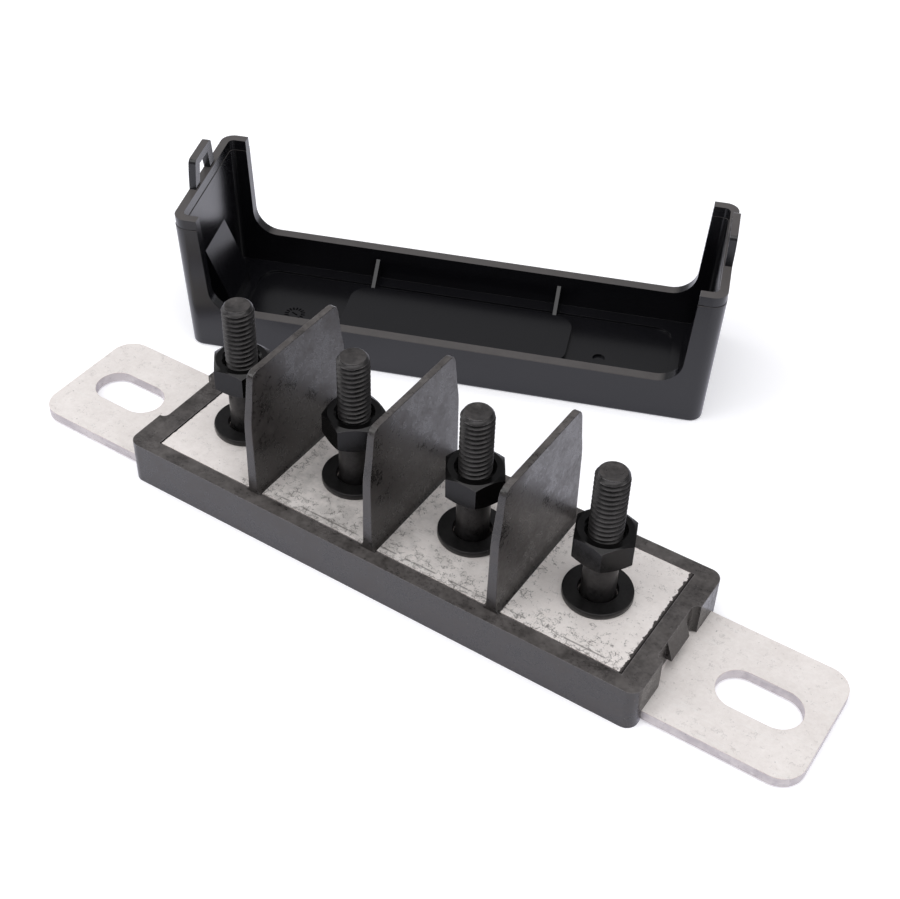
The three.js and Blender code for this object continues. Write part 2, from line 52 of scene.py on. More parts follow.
ALONG = 0.9  # The least share of an edge's direction that counts as along an axis.
HAIR = 0.01  # How near a place counts as the same place.
CORNER_FACES = 8  # Faces across a moulded corner.
LOG = logging.getLogger("busbar")
Point = Sequence[float]
EdgeTest = Callable[[Vector, Vector], bool]
PlaceTest = Callable[[Vector], bool]
Material = bpy.types.Material
Socket = bpy.types.NodeSocket
Colour = tuple[float, float, float, float]


class Combine(Enum):
    """How a tool shape changes a workpiece."""

    CUT = "DIFFERENCE"
    ADD = "UNION"
    KEEP = "INTERSECT"


class Axis(Enum):
    """The axes of the frame, as places in a vector."""

    X = 0
    Y = 1
    Z = 2

    def runs(self, middle: Vector, way: Vector) -> bool:
        """Tests whether an edge with this middle and direction runs along the axis."""
        return abs(way[self.value]) > ALONG


class Body(Enum):
    """The moving bodies that pieces ride on. The numbered ones take a stud's number."""

    BASE = "base_body"
    WASHER = "washer_{}_body"
    NUT = "nut_{}_body"
    COVER = "cover_body"

    def named(self, number: int = 0) -> str:
        """Returns the body's name in the frame for one stud."""
        return self.value.format(number)


class Workpiece:
    """A mesh object that operators shape. Every length given to it is in millimetres."""

    def __init__(self, shape: bpy.types.Object) -> None:
        """Keeps the object that the workpiece shapes."""
        self.shape = shape

    @staticmethod
    def clear() -> None:
        """Leaves edit mode and deselects every object."""
        if bpy.context.object and bpy.context.object.mode != "OBJECT":
            bpy.ops.object.mode_set(mode="OBJECT")
        bpy.ops.object.select_all(action="DESELECT")

    def take(self) -> None:
        """Makes the workpiece's object the only selected one, and active."""
        self.clear()
        self.shape.select_set(True)
        bpy.context.view_layer.objects.active = self.shape

    @classmethod
    def adopt(cls, name: str) -> "Workpiece":
        """Names the newest object and moves its place into its mesh.

        Args:
            name: The object's name.

        Returns:
            The object as a workpiece.
        """
        shape = bpy.context.object
        shape.name = shape.data.name = name
        bpy.ops.object.transform_apply(location=True, rotation=True, scale=True)
        return cls(shape)

    @classmethod
    def block(cls, name: str, low: Point, high: Point) -> "Workpiece":
        """Makes a box.

        Args:
            name: The object's name.
            low: The lowest corner.
            high: The highest corner.

        Returns:
            The box.
        """
        cls.clear()
        size = (Vector(high) - Vector(low)) * MM
        middle = (Vector(high) + Vector(low)) * MM / 2
        bpy.ops.mesh.primitive_cube_add(size=1, location=middle, scale=size)
        return cls.adopt(name)

    @classmethod
    def drum(
        cls, name: str, radius: float, low: Point, height: float, sides: int = 48
    ) -> "Workpiece":
        """Makes an upright cylinder or prism with equal sides.

        Args:
            name: The object's name.
            radius: The radius to the corners.
            low: The middle of the lower face.
            height: The height.
            sides: The number of sides.

        Returns:
            The cylinder.
        """
        cls.clear()
        middle = Vector((low[0], low[1], low[2] + height / 2)) * MM
        bpy.ops.mesh.primitive_cylinder_add(
            vertices=sides, radius=radius * MM, depth=height * MM, location=middle
        )
        return cls.adopt(name)

    @classmethod
    def drawn(cls, name: str, points: Sequence[Point]) -> "Workpiece":
        """Draws a chain of edges by extruding one corner from point to point.

        Args:
            name: The object's name.
            points: The corners, in order.

        Returns:
            The chain, with all of it selected in edit mode.
        """
        cls.clear()
        bpy.ops.mesh.primitive_plane_add(size=MM, location=Vector(points[0]) * MM)
        piece = cls.adopt(name)
        piece.edit()
        bpy.ops.mesh.merge(type="CENTER")
        for start, end in zip(points, points[1:]):
            step = (Vector(end) - Vector(start)) * MM
            bpy.ops.mesh.extrude_region_move(TRANSFORM_OT_translate={"value": step})
        bpy.ops.mesh.select_all(action="SELECT")
        return piece

    @classmethod
    def slab(
        cls, name: str, outline: Sequence[Point], along: Axis, low: float, high: float
    ) -> "Workpiece":
        """Makes a solid from an upright outline pushed along X or Y.

        Args:
            name: The object's name.
            outline: Corners in order, as the level axis across the push and the height.
            along: The axis of the push.
            low: Where the push starts.
            high: Where it ends.

        Returns:
            The solid.
        """
        if along is Axis.X:
            points, push = [(low, y, z) for y, z in outline], (high - low, 0, 0)
        else:
            points, push = [(x, low, z) for x, z in outline], (0, high - low, 0)
        piece = cls.drawn(name, points)
        bpy.ops.mesh.edge_face_add()
        bpy.ops.mesh.extrude_region_move(TRANSFORM_OT_translate={"value": Vector(push) * MM})
        return piece.made_sound()

    @classmethod
    def lathe(cls, name: str, points: Sequence[Point], steps: int = 48) -> "Workpiece":
        """Turns a profile about the Z axis.

        Args:
            name: The object's name.
            points: Corners as radius and height, closed or starting and ending on the axis.
            steps: The number of steps round the axis.

        Returns:
            The turned solid.
        """
        piece = cls.drawn(name, [(radius, 0, height) for radius, height in points])
        bpy.ops.mesh.spin(steps=steps, angle=math.tau, center=(0, 0, 0), axis=(0, 0, 1))
        return piece.made_sound()

    def edit(self, kind: str = "VERT", action: str = "SELECT") -> None:
        """Opens the workpiece in edit mode.

        Args:
            kind: What is selected: corners, edges or faces.
            action: Whether everything is selected, or nothing.
        """
        self.take()
        bpy.ops.object.mode_set(mode="EDIT")
        bpy.ops.mesh.select_mode(type=kind)
        bpy.ops.mesh.select_all(action=action)

    def made_sound(self) -> "Workpiece":
        """Merges doubled corners, turns all faces outwards and leaves edit mode.

        Returns:
            The workpiece.
        """
        self.edit()
        bpy.ops.mesh.remove_doubles(threshold=WELD)
        bpy.ops.mesh.normals_make_consistent(inside=False)
        self.clear()
        return self

    def pick_corners(self, test: PlaceTest) -> None:
        """Selects corners in edit mode.

        Args:
            test: Chooses them by place, in millimetres.
        """
        self.edit("VERT", "DESELECT")
        mesh = bmesh.from_edit_mesh(self.shape.data)
        for corner in mesh.verts:
            corner.select_set(test(corner.co / MM))
        mesh.select_flush(True)
        bmesh.update_edit_mesh(self.shape.data)

    def round_edges(self, radius: float, segments: int, test: EdgeTest) -> "Workpiece":
        """Rounds chosen edges.

        Args:
            radius: The radius of the round.
            segments: Faces across the round.
            test: Chooses edges by their middle in millimetres and their direction.

        Returns:
            The workpiece.
        """
        self.edit("EDGE", "DESELECT")
        mesh = bmesh.from_edit_mesh(self.shape.data)
        for edge in mesh.edges:
            start, end = (corner.co / MM for corner in edge.verts)
            edge.select_set(test((start + end) / 2, (end - start).normalized()))
        bmesh.update_edit_mesh(self.shape.data)
        bpy.ops.mesh.bevel(
            offset=radius * MM, segments=segments, affect="EDGES", clamp_overlap=True
        )
        self.clear()
        return self

    def stretch(self, scale: Point, centre: Point, test: PlaceTest) -> "Workpiece":
        """Scales chosen corners about a place.

        Args:
            scale: The scale along each axis.
            centre: The place that stays.
            test: Chooses corners by place.

        Returns:
            The workpiece.
        """
        self.pick_corners(test)
        bpy.ops.transform.resize(value=scale, center_override=Vector(centre) * MM)
        self.clear()
        return self

    def shift(self, step: Point, test: PlaceTest) -> "Workpiece":
        """Moves chosen corners.

        Args:
            step: How far and which way.
            test: Chooses corners by place.

        Returns:
            The workpiece.
        """
        self.pick_corners(test)
        bpy.ops.transform.translate(value=Vector(step) * MM)
        self.clear()
        return self

    def combine(self, how: Combine, *tools: "Workpiece") -> "Workpiece":
        """Cuts, joins or keeps what lies in each tool shape in turn, and removes the tools.

        Args:
            how: What the tools do.
            tools: The other shapes.

        Returns:
            The workpiece.
        """
        for tool in tools:
            self.clear()
            joint = self.shape.modifiers.new("combine", "BOOLEAN")
            joint.operation = how.value
            joint.solver = "EXACT"
            joint.object = tool.shape
            self.apply(joint)
            bpy.data.objects.remove(tool.shape)
        return self

    def apply(self, modifier: bpy.types.Modifier) -> None:
        """Applies a modifier to the mesh.

        Args:
            modifier: One of the object's modifiers.
        """
        self.clear()
        bpy.context.view_layer.objects.active = self.shape
        bpy.ops.object.modifier_apply(modifier=modifier.name)

    def blunt(self, width: float, segments: int = 3, angle: float = 28) -> "Workpiece":
        """Rounds every sharp edge a little.

        Args:
            width: The width of the round.
            segments: Faces across it.
            angle: Edges sharper than this are rounded, in degrees.

        Returns:
            The workpiece.
        """
        bevel = self.shape.modifiers.new("soften", "BEVEL")
        bevel.width = width * MM
        bevel.segments = segments
        bevel.limit_method = "ANGLE"
        bevel.angle_limit = math.radians(angle)
        self.apply(bevel)
        return self

    def smooth(self, angle: float = 28) -> "Workpiece":
        """Shades faces smooth where they meet at less than an angle, and keeps large faces flat.

        Args:
            angle: The angle in degrees.

        Returns:
            The workpiece.
        """
        self.take()
        bpy.ops.object.shade_smooth_by_angle(angle=math.radians(angle))
        weighted = self.shape.modifiers.new("weighted", "WEIGHTED_NORMAL")
        weighted.keep_sharp = True
        weighted.weight = 100
        self.apply(weighted)
        return self

    def copied(self, name: str) -> "Workpiece":
        """Copies the workpiece with a mesh of its own.

        Args:
            name: The copy's name.

        Returns:
            The copy.
        """
        self.take()
        bpy.ops.object.duplicate()
        return self.adopt(name)

    def mirrored(self, name: str, axis: Axis) -> "Workpiece":
        """Copies the workpiece to the other side of the origin.

        Args:
            name: The copy's name.
            axis: The axis to mirror along.

        Returns:
            The mirrored copy.
        """
        copy = self.copied(name)
        flip = [-1 if place == axis.value else 1 for place in range(3)]
        copy.edit()
        bpy.ops.transform.resize(value=flip, center_override=(0, 0, 0))
        return copy.made_sound()

    def place(self, x: float, y: float, z: float = 0, turn: float = 0) -> "Workpiece":
        """Turns and moves the whole workpiece, and keeps its object at the origin.

        Args:
            x: Millimetres along X.
            y: Millimetres along Y.
            z: Millimetres up.
            turn: Degrees about Z, anticlockwise from above.

        Returns:
            The workpiece.
        """
        self.take()
        self.shape.rotation_euler = (0, 0, math.radians(turn))
        self.shape.location = Vector((x, y, z)) * MM
        bpy.ops.object.transform_apply(location=True, rotation=True, scale=True)
        return self

    def dress(self, finish: Material, body: str, slot: str, node: str) -> None:
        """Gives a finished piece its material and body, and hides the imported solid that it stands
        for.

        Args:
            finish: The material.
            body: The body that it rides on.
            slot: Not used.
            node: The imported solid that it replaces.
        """
        self.shape.data.materials.clear()
        self.shape.data.materials.append(finish)
        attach(self.shape, body)
        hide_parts(node)
        count = sum(len(face.vertices) - 2 for face in self.shape.data.polygons)
        LOG.info("%s: %d triangles", self.shape.name, count)


def closed(right: Sequence[Point]) -> list[Point]:
    """Returns a closed outline, the same on both sides, from its right-hand corners upwards."""
    return [*right, *((-across, up) for across, up in reversed(right))]


@dataclass
class Layout:
    """Sizes that the moulding, the bar and the hardware share."""

    stud_x: tuple[float, ...] = (-37.8, -12.8, 12.2, 37.2)
    window_ends: tuple[float, float] = (-47.7, 48.6)
    bar_top: float = 9
    bar_thickness: float = 2
    tab_top: float = 2.4
    tab_reach: float = 80
    bend_end: float = 52

    def slope(self, window: float) -> float:
        """Returns the angle of the bar's step at one end of the windows, in radians."""
        return math.atan2(self.bar_top - self.tab_top, self.bend_end - abs(window))


@dataclass
class BaseMoulding(Layout):
    """Black moulded base: end rails, catch wedges, bolt-head pockets and three barriers."""

    half_length: float = 53.2
    half_width: float = 16
    height: float = 8.9
    corner_radius: float = 2.2
    edge_round: float = 0.22
    channel_half_width: float = 13.15
    clearance: float = 0.15
    recess_depth: float = 1.3
    recess_half_width: float = 7.05
    recess_corner: float = 1.2
    recess_faces: int = 6
    wedge_half_width: float = 2.9
    wedge_far: float = 3.6
    wedge_underside: float = 4.7
    wedge_lip: float = 0.35
    wedge_root: float = 0.6
    pocket_corner_radius: float = 6.12
    pocket_top: float = 8
    barrier_x: tuple[float, ...] = (-25.6, -0.6, 24.4)
    barrier_half_width: float = 13.6
    barrier_reach: float = 4
    barrier_round: float = 0.2
    barrier_section: tuple[Point, ...] = (
        (1.59, 8.5), (1.59, 9.05), (1.27, 9.2), (1.07, 9.5), (0.97, 10.1), (0.66, 35.3),
    )
    barrier_face: tuple[Point, ...] = (
        (13.6, 7), (13.6, 23.5), (13.5, 25.4), (13.25, 27), (12.95, 28.6),
        (12.3, 33.6), (12.1, 34.3), (11.75, 34.85), (11.2, 35.2), (10.6, 35.3),
    )

    def channel(self) -> Workpiece:
        """Shapes the space of the bar: open on top in the window, open below under the tabs.

        Returns:
            The tool that cuts the channel.
        """
        under = self.bar_top - self.bar_thickness
        over = self.bar_top + self.clearance
        shelf = self.tab_top + self.clearance
        ends = []
        for sign, window in zip((-1, 1), self.window_ends):
            slope = self.slope(window)
            edge = window - sign * (self.bar_thickness * math.tan(slope / 2) + self.clearance)
            foot = edge + sign * (under + OVERRUN) / math.tan(slope)
            reach, wall = sign * self.tab_reach, window + sign * self.clearance
            bend = sign * (self.bend_end + self.clearance)
            ends.append([
                (edge, under), (foot, -OVERRUN), (reach, -OVERRUN), (reach, shelf),
                (bend, shelf), (wall, over), (wall, over + 2 * OVERRUN),
            ])
        half = self.channel_half_width
        return Workpiece.slab("channel", ends[0] + ends[1][::-1], Axis.Y, -half, half)

    def wedge(self) -> Workpiece:
        """Shapes the sloped catch in the recess of the right-hand end.

        Returns:
            The wedge.
        """
        wall = self.half_length - self.recess_depth
        outline = [
            (wall - self.wedge_root, self.wedge_underside),
            (self.half_length, self.wedge_underside),
            (self.half_length, self.wedge_underside + self.wedge_lip),
            (wall, self.height),
            (wall - self.wedge_root, self.height),
        ]
        return Workpiece.slab("wedge", outline, Axis.Y, -self.wedge_half_width, self.wedge_far)

    def mould(self) -> Workpiece:
        """Shapes the base without its barriers.

        Returns:
            The moulding.
        """
        x, y, top = self.half_length, self.half_width, self.height
        base = Workpiece.block("base_moulding", (-x, -y, 0), (x, y, top))
        base.round_edges(self.corner_radius, CORNER_FACES, Axis.Z.runs)
        wall, half = x - self.recess_depth, self.recess_half_width
        for ends in ((-x - OVERRUN, -wall), (wall, x + OVERRUN)):
            low, high = (ends[0], -half, -OVERRUN), (ends[1], half, top + OVERRUN)
            recess = Workpiece.block("recess", low, high)
            recess.round_edges(self.recess_corner, self.recess_faces, Axis.Z.runs)
            base.combine(Combine.CUT, recess)
        wedge = self.wedge()
        base.combine(Combine.ADD, wedge.mirrored("left_wedge", Axis.X), wedge)
        base.combine(Combine.CUT, self.channel())
        for x in self.stud_x:
            low, tall = (x, 0, -OVERRUN), self.pocket_top + OVERRUN
            pocket = Workpiece.drum("pocket", self.pocket_corner_radius, low, tall, sides=6)
            base.combine(Combine.CUT, pocket)
        return base.blunt(self.edge_round).smooth()

    def barrier(self) -> Workpiece:
        """Shapes the first barrier, centred on X, with a filleted foot and rounded shoulders.

        Returns:
            The barrier.
        """
        half, reach = self.barrier_half_width, self.barrier_reach
        wall = Workpiece.slab("barrier_1", closed(self.barrier_section), Axis.Y, -half, half)
        face = Workpiece.slab("face", closed(self.barrier_face), Axis.X, -reach, reach)
        return wall.combine(Combine.KEEP, face).blunt(self.barrier_round).smooth()

    def build(self, finish: Material) -> None:
        """Makes and dresses the base and its barriers.

        Args:
            finish: The moulding's material.
        """
        base, first = self.mould(), self.barrier()
        barriers = [first, first.copied("barrier_2"), first.copied("barrier_3")]
        for barrier, x in zip(barriers, self.barrier_x):
            barrier.place(x, 0)
        for piece in (base, *barriers):
            piece.dress(finish, Body.BASE.named(), "black_moulding", "base")


@dataclass
class Bar(Layout):
    """Tinned copper bar with a slotted tab stepped down at each end."""

    half_width: float = 13
    corner_radius: float = 4.5
    corner_faces: int = 10
    slot_middle: float = 68.1
    slot_half_length: float = 7.6
    slot_radius: float = 4.2
    slot_sides: int = 50
    slot_bottom: float = -3
    hole_radius: float = 3.3
    edge_round: float = 0.16
    tool_height: float = 12

    def side(self) -> list[Point]:
        """Lists the corners of the bar's outline as seen from the front.

        Returns:
            The corners along X and Z.
        """
        ends = []
        for sign, window in zip((-1, 1), self.window_ends):
            inset = sign * self.bar_thickness * math.tan(self.slope(window) / 2)
            tip, bend = sign * self.tab_reach, sign * self.bend_end
            below = self.tab_top - self.bar_thickness
            ends.append([
                (window - inset, self.bar_top - self.bar_thickness), (bend - inset, below),
                (tip, below), (tip, self.tab_top), (bend, self.tab_top), (window, self.bar_top),
            ])
        return ends[0] + ends[1][::-1]

    def slot(self, x: float) -> Workpiece:
        """Shapes the tool for one slot, a drum drawn out along the bar.

        Args:
            x: The slot's middle.

        Returns:
            The tool.
        """
        low = (x, 0, self.slot_bottom)
        tool = Workpiece.drum("slot", self.slot_radius, low, self.tool_height, self.slot_sides)
        reach = self.slot_half_length - self.slot_radius
        tool.shift((reach, 0, 0), lambda place: place.x > x)
        return tool.shift((-reach, 0, 0), lambda place: place.x < x)

    def build(self, finish: Material) -> None:
        """Makes and dresses the bar.

        Args:
            finish: The plated copper.
        """
        half, tip = self.half_width, self.tab_reach - HAIR
        bar = Workpiece.slab("bar", self.side(), Axis.Y, -half, half)
        bar.round_edges(
            self.corner_radius, self.corner_faces,
            lambda middle, way: Axis.Z.runs(middle, way) and abs(middle.x) > tip,
        )
        bar.combine(Combine.CUT, self.slot(-self.slot_middle), self.slot(self.slot_middle))
        for x in self.stud_x:
            low, tall = (x, 0, self.bar_top - 2 * self.bar_thickness), 3 * self.bar_thickness
            bar.combine(Combine.CUT, Workpiece.drum("hole", self.hole_radius, low, tall))
        bar.blunt(self.edge_round).smooth()
        bar.dress(finish, Body.BASE.named(), "tinned_copper", "busbar")


@dataclass(frozen=True)
class Thread:
    """One screw thread, rolled with rounded crests."""

    root: float
    crest: float
    pitch: float = 1
    steps: int = 40
    profile_shares: tuple[Point, ...] = (
        (0, 0), (0, 0.1), (0.25, 0.2), (0.94, 0.43), (1, 0.5),
        (0.94, 0.57), (0.25, 0.8), (0, 0.9), (0, 1),
    )

    def roll(self, name: str, bottom: float, turns: int) -> Workpiece:
        """Winds the thread's profile up the Z axis and closes both ends.

        Args:
            name: The object's name.
            bottom: Where the winding starts.
            turns: The number of turns.

        Returns:
            The threaded core.
        """
        depth = self.crest - self.root
        shares = self.profile_shares
        points = [(self.root + depth * out, 0, bottom + self.pitch * up) for out, up in shares]
        core = Workpiece.drawn(name, points)
        core.clear()
        winding = core.shape.modifiers.new("wind", "SCREW")
        winding.angle = math.tau
        winding.screw_offset = self.pitch * MM
        winding.iterations = turns
        winding.steps = winding.render_steps = self.steps
        core.apply(winding)
        core.edit()
        bpy.ops.mesh.remove_doubles(threshold=WELD)
        middle = (bottom + self.pitch * turns / 2) * MM
        for upper in (False, True):
            core.edit("EDGE", "DESELECT")
            bpy.ops.mesh.select_non_manifold()
            mesh = bmesh.from_edit_mesh(core.shape.data)
            for edge in mesh.edges:
                height = (edge.verts[0].co.z + edge.verts[1].co.z) / 2
                if edge.select and (height > middle) != upper:
                    edge.select_set(False)
            mesh.select_flush(False)
            bmesh.update_edit_mesh(core.shape.data)
            bpy.ops.mesh.extrude_region_move(TRANSFORM_OT_translate={"value": (0, 0, 0)})
            bpy.ops.mesh.merge(type="CENTER")
        return core.made_sound()


@dataclass
class StudSet(Layout):
    """Four black studs with their washers and nuts. Profiles are radius and height."""

    top: float = 37
    thread_start: float = 19
    thread_turns: int = 22
    thread_run_in: float = 3
    thread_trim: float = 1
    shank_run_out: tuple[float, float] = (-0.2, 0.5)
    shank_sink: float = 0.05
    crest: float = 2.95
    root: float = 2.39
    shank_radius: float = 3
    stud_end: tuple[Point, ...] = (
        (4, -2.15), (2.95, -0.8), (2.42, -0.1), (2.28, 0), (1.85, 0),
        (1.6, -0.08), (1.1, -0.16), (0.5, -0.2), (0, -0.2),
    )
    hexagon_radius: float = 5.77
    head_bottom: float = 3
    head_top: float = 7
    head_chamfer: tuple[Point, ...] = ((0, -0.4), (4.2, -0.4), (6.5, 0.92))
    washer_profile: tuple[Point, ...] = (
        (6.07, 0), (6.15, 0.1), (6.15, 0.9), (6.07, 1.1), (5.87, 1.2),
        (3.55, 1.2), (3.4, 1.05), (3.4, 0.05), (3.45, 0), (6.07, 0),
    )
    nut_height: float = 5.2
    nut_chamfer: tuple[Point, ...] = ((0, -0.4), (4.05, -0.4), (5.8, 0.6), (7.3, 1.46))
    nut_mouth: tuple[Point, ...] = ((0, -0.6), (4.3, -0.6), (3.05, 0.62))
    bore: Thread = Thread(3.1, 3.4, steps=32)
    bore_start: float = -1.5
    bore_turns: int = 9
    turned_steps: int = 64
    washer_steps: int = 72
    chamfer_steps: int = 96
    mouth_steps: int = 48
    stud_shading: float = 32
    washer_shading: float = 40
    nut_shading: float = 25
    nut_rises: tuple[float, ...] = (10.9, 10.45, 10.7, 10.2)
    nut_turns: tuple[float, ...] = (38.2, 5.1, 32.8, 22.2)

    def stud(self) -> Workpiece:
        """Shapes one stud: rolled thread, chamfered cupped end, plain shank and hexagon head.

        Returns:
            The stud on the Z axis.
        """
        start, bottom, top = self.thread_start, self.head_bottom, self.head_top
        below, trimmed = start - self.thread_run_in, start - self.thread_trim
        stud = Thread(self.root, self.crest).roll("stud_1_fine", below, self.thread_turns)
        points = [(0, trimmed), (self.stud_end[0][0], trimmed)]
        points += [(radius, self.top + rise) for radius, rise in self.stud_end]
        stud.combine(Combine.KEEP, Workpiece.lathe("envelope", points, self.turned_steps))
        shank, inside = self.shank_radius, bottom + 1
        shoulder, end = (start + rise for rise in self.shank_run_out)
        points = [(0, inside), (shank, inside), (shank, shoulder)]
        points += [(self.root - self.shank_sink, end), (0, end)]
        stud.combine(Combine.ADD, Workpiece.lathe("shank", points, self.turned_steps))
        head = Workpiece.drum("head", self.hexagon_radius, (0, 0, bottom), top - bottom, sides=6)
        points = [(radius, bottom + rise) for radius, rise in self.head_chamfer]
        points += [(points[-1][0], top + 1), (0, top + 1)]
        stud.combine(Combine.ADD, head.combine(Combine.KEEP, Workpiece.lathe("round", points)))
        return stud.smooth(self.stud_shading)

    def washer(self) -> Workpiece:
        """Shapes one washer, with a rolled-over upper rim.

        Returns:
            The washer on the Z axis, lying on the bar.
        """
        points = [(radius, self.bar_top + rise) for radius, rise in self.washer_profile]
        washer = Workpiece.lathe("washer_1_fine", points, self.washer_steps)
        return washer.smooth(self.washer_shading)

    def nut(self) -> Workpiece:
        """Shapes one nut, chamfered on both faces, with a threaded bore.

        Returns:
            The nut on the Z axis, standing on the origin.
        """
        tall = self.nut_height
        nut = Workpiece.drum("nut_1_fine", self.hexagon_radius, (0, 0, 0), tall, sides=6)
        for name, half, steps, how in (
            ("round", self.nut_chamfer, self.chamfer_steps, Combine.KEEP),
            ("mouth", self.nut_mouth, self.mouth_steps, Combine.CUT),
        ):
            points = [*half, *((radius, tall - rise) for radius, rise in reversed(half))]
            nut.combine(how, Workpiece.lathe(name, points, steps))
        nut.combine(Combine.CUT, self.bore.roll("bore", self.bore_start, self.bore_turns))
        return nut.smooth(self.nut_shading)

    def build(self, finishes: dict[str, Material]) -> None:
        """Makes and dresses every stud, washer and nut.

        Args:
            finishes: The materials, keyed stud, washer and nut.
        """
        first = {"stud": self.stud(), "washer": self.washer(), "nut": self.nut()}
        for number, x in enumerate(self.stud_x, start=1):
            for kind, model in first.items():
                piece = model.copied(f"{kind}_{number}_piece")
                rise = self.bar_top + self.nut_rises[number - 1]
                piece.place(x, 0, *((rise, self.nut_turns[number - 1]) if kind == "nut" else ()))
                body = Body.BASE if kind == "stud" else Body[kind.upper()]
                slot, node = f"black_oxide_{kind}", f"{kind}_{number}"
                piece.dress(finishes[kind], body.named(number), slot, node)
        for model in first.values():
            bpy.data.objects.remove(model.shape)


@dataclass
class Cover:
    """Clip-on cover, moulded in its own frame with its roof on the table and its rim on top."""

    depth: float = 31.3
    rim_half_length: float = 54.28
    rim_half_width: float = 16.65
    roof_half_length: float = 53.28
    roof_half_width: float = 15.5
    corner_radius: float = 2.7
    roof_round: float = 0.5
    cavity_radius: float = 1.2
    edge_round: float = 0.16
    sharp_angle: float = 16
    shading: float = 15
    end_wall: float = 1.8
    side_wall: float = 2.05
    lower_thickening: tuple[float, float] = (0.12, 0.1)
    border_thickness: float = 2.5
    tool_rise: float = 3
    band_bottom: float = 29.1
    band_step: float = 0.1
    cutout_half_top: float = 49.3
    cutout_half_sill: float = 47.9
    sill: float = 9.5
    sill_radius: float = 5
    sill_faces: int = 10
    cutout_reach: float = 30
    bead_width: float = 1.15
    bead_proud: float = 0.12
    bead_root: float = 0.8
    bead_gap: float = 0.02
    bead_slack: float = 5
    panel_half_length: float = 45.2
    panel_half_width: float = 10.5
    panel_thickness: float = 2
    panel_radius: float = 4
    label_half_length: float = 24
    label_half_width: float = 8
    label_radius: float = 4
    label_step: float = 1.5
    ridge_height: float = 17.4
    ridge_half_width: float = 6
    ridge_reach: float = 4.9
    ridge_drop: float = 12.67
    ridge_wall: float = 1.7
    ridge_foot: float = 1.2
    ridge_burial: float = 0.9
    hollow_radius: float = 0.9
    hollow_faces: int = 4
    gusset_x: tuple[float, ...] = (-20.2, 19.6)
    gusset_half_thickness: float = 0.4
    gusset_foot: float = 1.5
    gusset_height: float = 7.1
    gusset_toe: float = 0.6
    gusset_reach: float = 5.4
    loop_thickness: float = 1.5
    loop_height: float = 6
    loop_half_foot: float = 5.6
    loop_half_top: float = 4.5
    loop_radius: float = 0.9
    loop_faces: int = 5
    loop_window: tuple[Point, ...] = ((3.2, 0), (2.3, 4.2))
    dial_place: tuple[float, float] = (-34.35, -3.14)
    dial_radius: float = 2.2
    dial_ticks: int = 16
    dial_slot: tuple[float, float] = (0.16, 0.8)
    dial_slot_turn: float = 60
    tick_half_width: float = 0.17
    tick_start_share: float = 0.6
    pin_place: tuple[float, float] = (30.8, -2.3)
    pin_radius: float = 1.3
    mark_depth: float = 0.45
    beyond: tuple[float, float, float] = (90, 40, 90)
    x: float = -26.45
    y: float = 54.81
    turn: float = 20.8

    def half_length(self, height: float) -> float:
        """Returns half the outside length at a height."""
        share = height / self.depth
        return self.roof_half_length + (self.rim_half_length - self.roof_half_length) * share

    def half_width(self, height: float) -> float:
        """Returns half the outside width at a height."""
        share = height / self.depth
        return self.roof_half_width + (self.rim_half_width - self.roof_half_width) * share

    def drafted(self, name: str, bottom: float, top: float, ends: float, sides: float) -> Workpiece:
        """Makes a box that tapers with the cover's outside.

        Args:
            name: The object's name.
            bottom: Its lowest height.
            top: Its highest height.
            ends: How far inside the end faces it stays.
            sides: How far inside the long faces it stays.

        Returns:
            The tapered box.
        """
        x, y = self.half_length(top) - ends, self.half_width(top) - sides
        tapered = Workpiece.block(name, (-x, -y, bottom), (x, y, top))
        scale = ((self.half_length(bottom) - ends) / x, (self.half_width(bottom) - sides) / y, 1)
        return tapered.stretch(scale, (0, 0, bottom), lambda place: place.z < (bottom + top) / 2)

    def shell(self) -> Workpiece:
        """Shapes the open box, with drafted walls and rounded corners.

        Returns:
            The shell.
        """
        shell = self.drafted("cover_shell", 0, self.depth, 0, 0)
        shell.round_edges(self.corner_radius, CORNER_FACES, Axis.Z.runs)
        shell.round_edges(self.roof_round, CORNER_FACES, lambda middle, way: middle.z < HAIR)
        ends, sides = self.lower_thickening
        low, top = self.border_thickness, self.depth + self.tool_rise
        cavity = self.drafted("cavity", low, top, self.end_wall + ends, self.side_wall + sides)
        cavity.round_edges(self.cavity_radius, CORNER_FACES, Axis.Z.runs)
        return shell.combine(Combine.CUT, cavity)

    def band(self, cover: Workpiece) -> None:
        """Thins the band under the rim, inside and outside.

        Args:
            cover: The cover that is shaped.
        """
        low, top, step = self.band_bottom, self.depth + self.tool_rise, self.band_step
        inside = self.drafted("band", low, top, self.end_wall, self.side_wall)
        inside.round_edges(self.cavity_radius, CORNER_FACES, Axis.Z.runs)
        cover.combine(Combine.CUT, inside)
        reach = self.depth + self.loop_height + 1
        x, y, _ = self.beyond
        ring = Workpiece.block("step", (-x, -y, low), (x, y, reach))
        kept = self.drafted("kept", low - 1, reach + 1, step, step)
        kept.round_edges(self.corner_radius, CORNER_FACES, Axis.Z.runs)
        cover.combine(Combine.CUT, ring.combine(Combine.CUT, kept))

    def cutout(self, grow: float, name: str) -> Workpiece:
        """Shapes the tool for the cable cut-outs through both long walls.

        Args:
            grow: How much larger than the cut-out it is on the sides and the sill.
            name: The object's name.

        Returns:
            The tool.
        """
        x, y = self.cutout_half_top + grow, self.cutout_reach
        sill = self.sill - grow
        tool = Workpiece.block(name, (-x, -y, sill), (x, y, self.depth + 2 * OVERRUN))
        share = (self.cutout_half_sill + grow) / x
        tool.stretch((share, 1, 1), (0, 0, 0), lambda place: place.z < self.depth / 2)
        return tool.round_edges(
            self.sill_radius + grow, self.sill_faces,
            lambda middle, way: Axis.Y.runs(middle, way) and middle.z < sill + 1,
        )

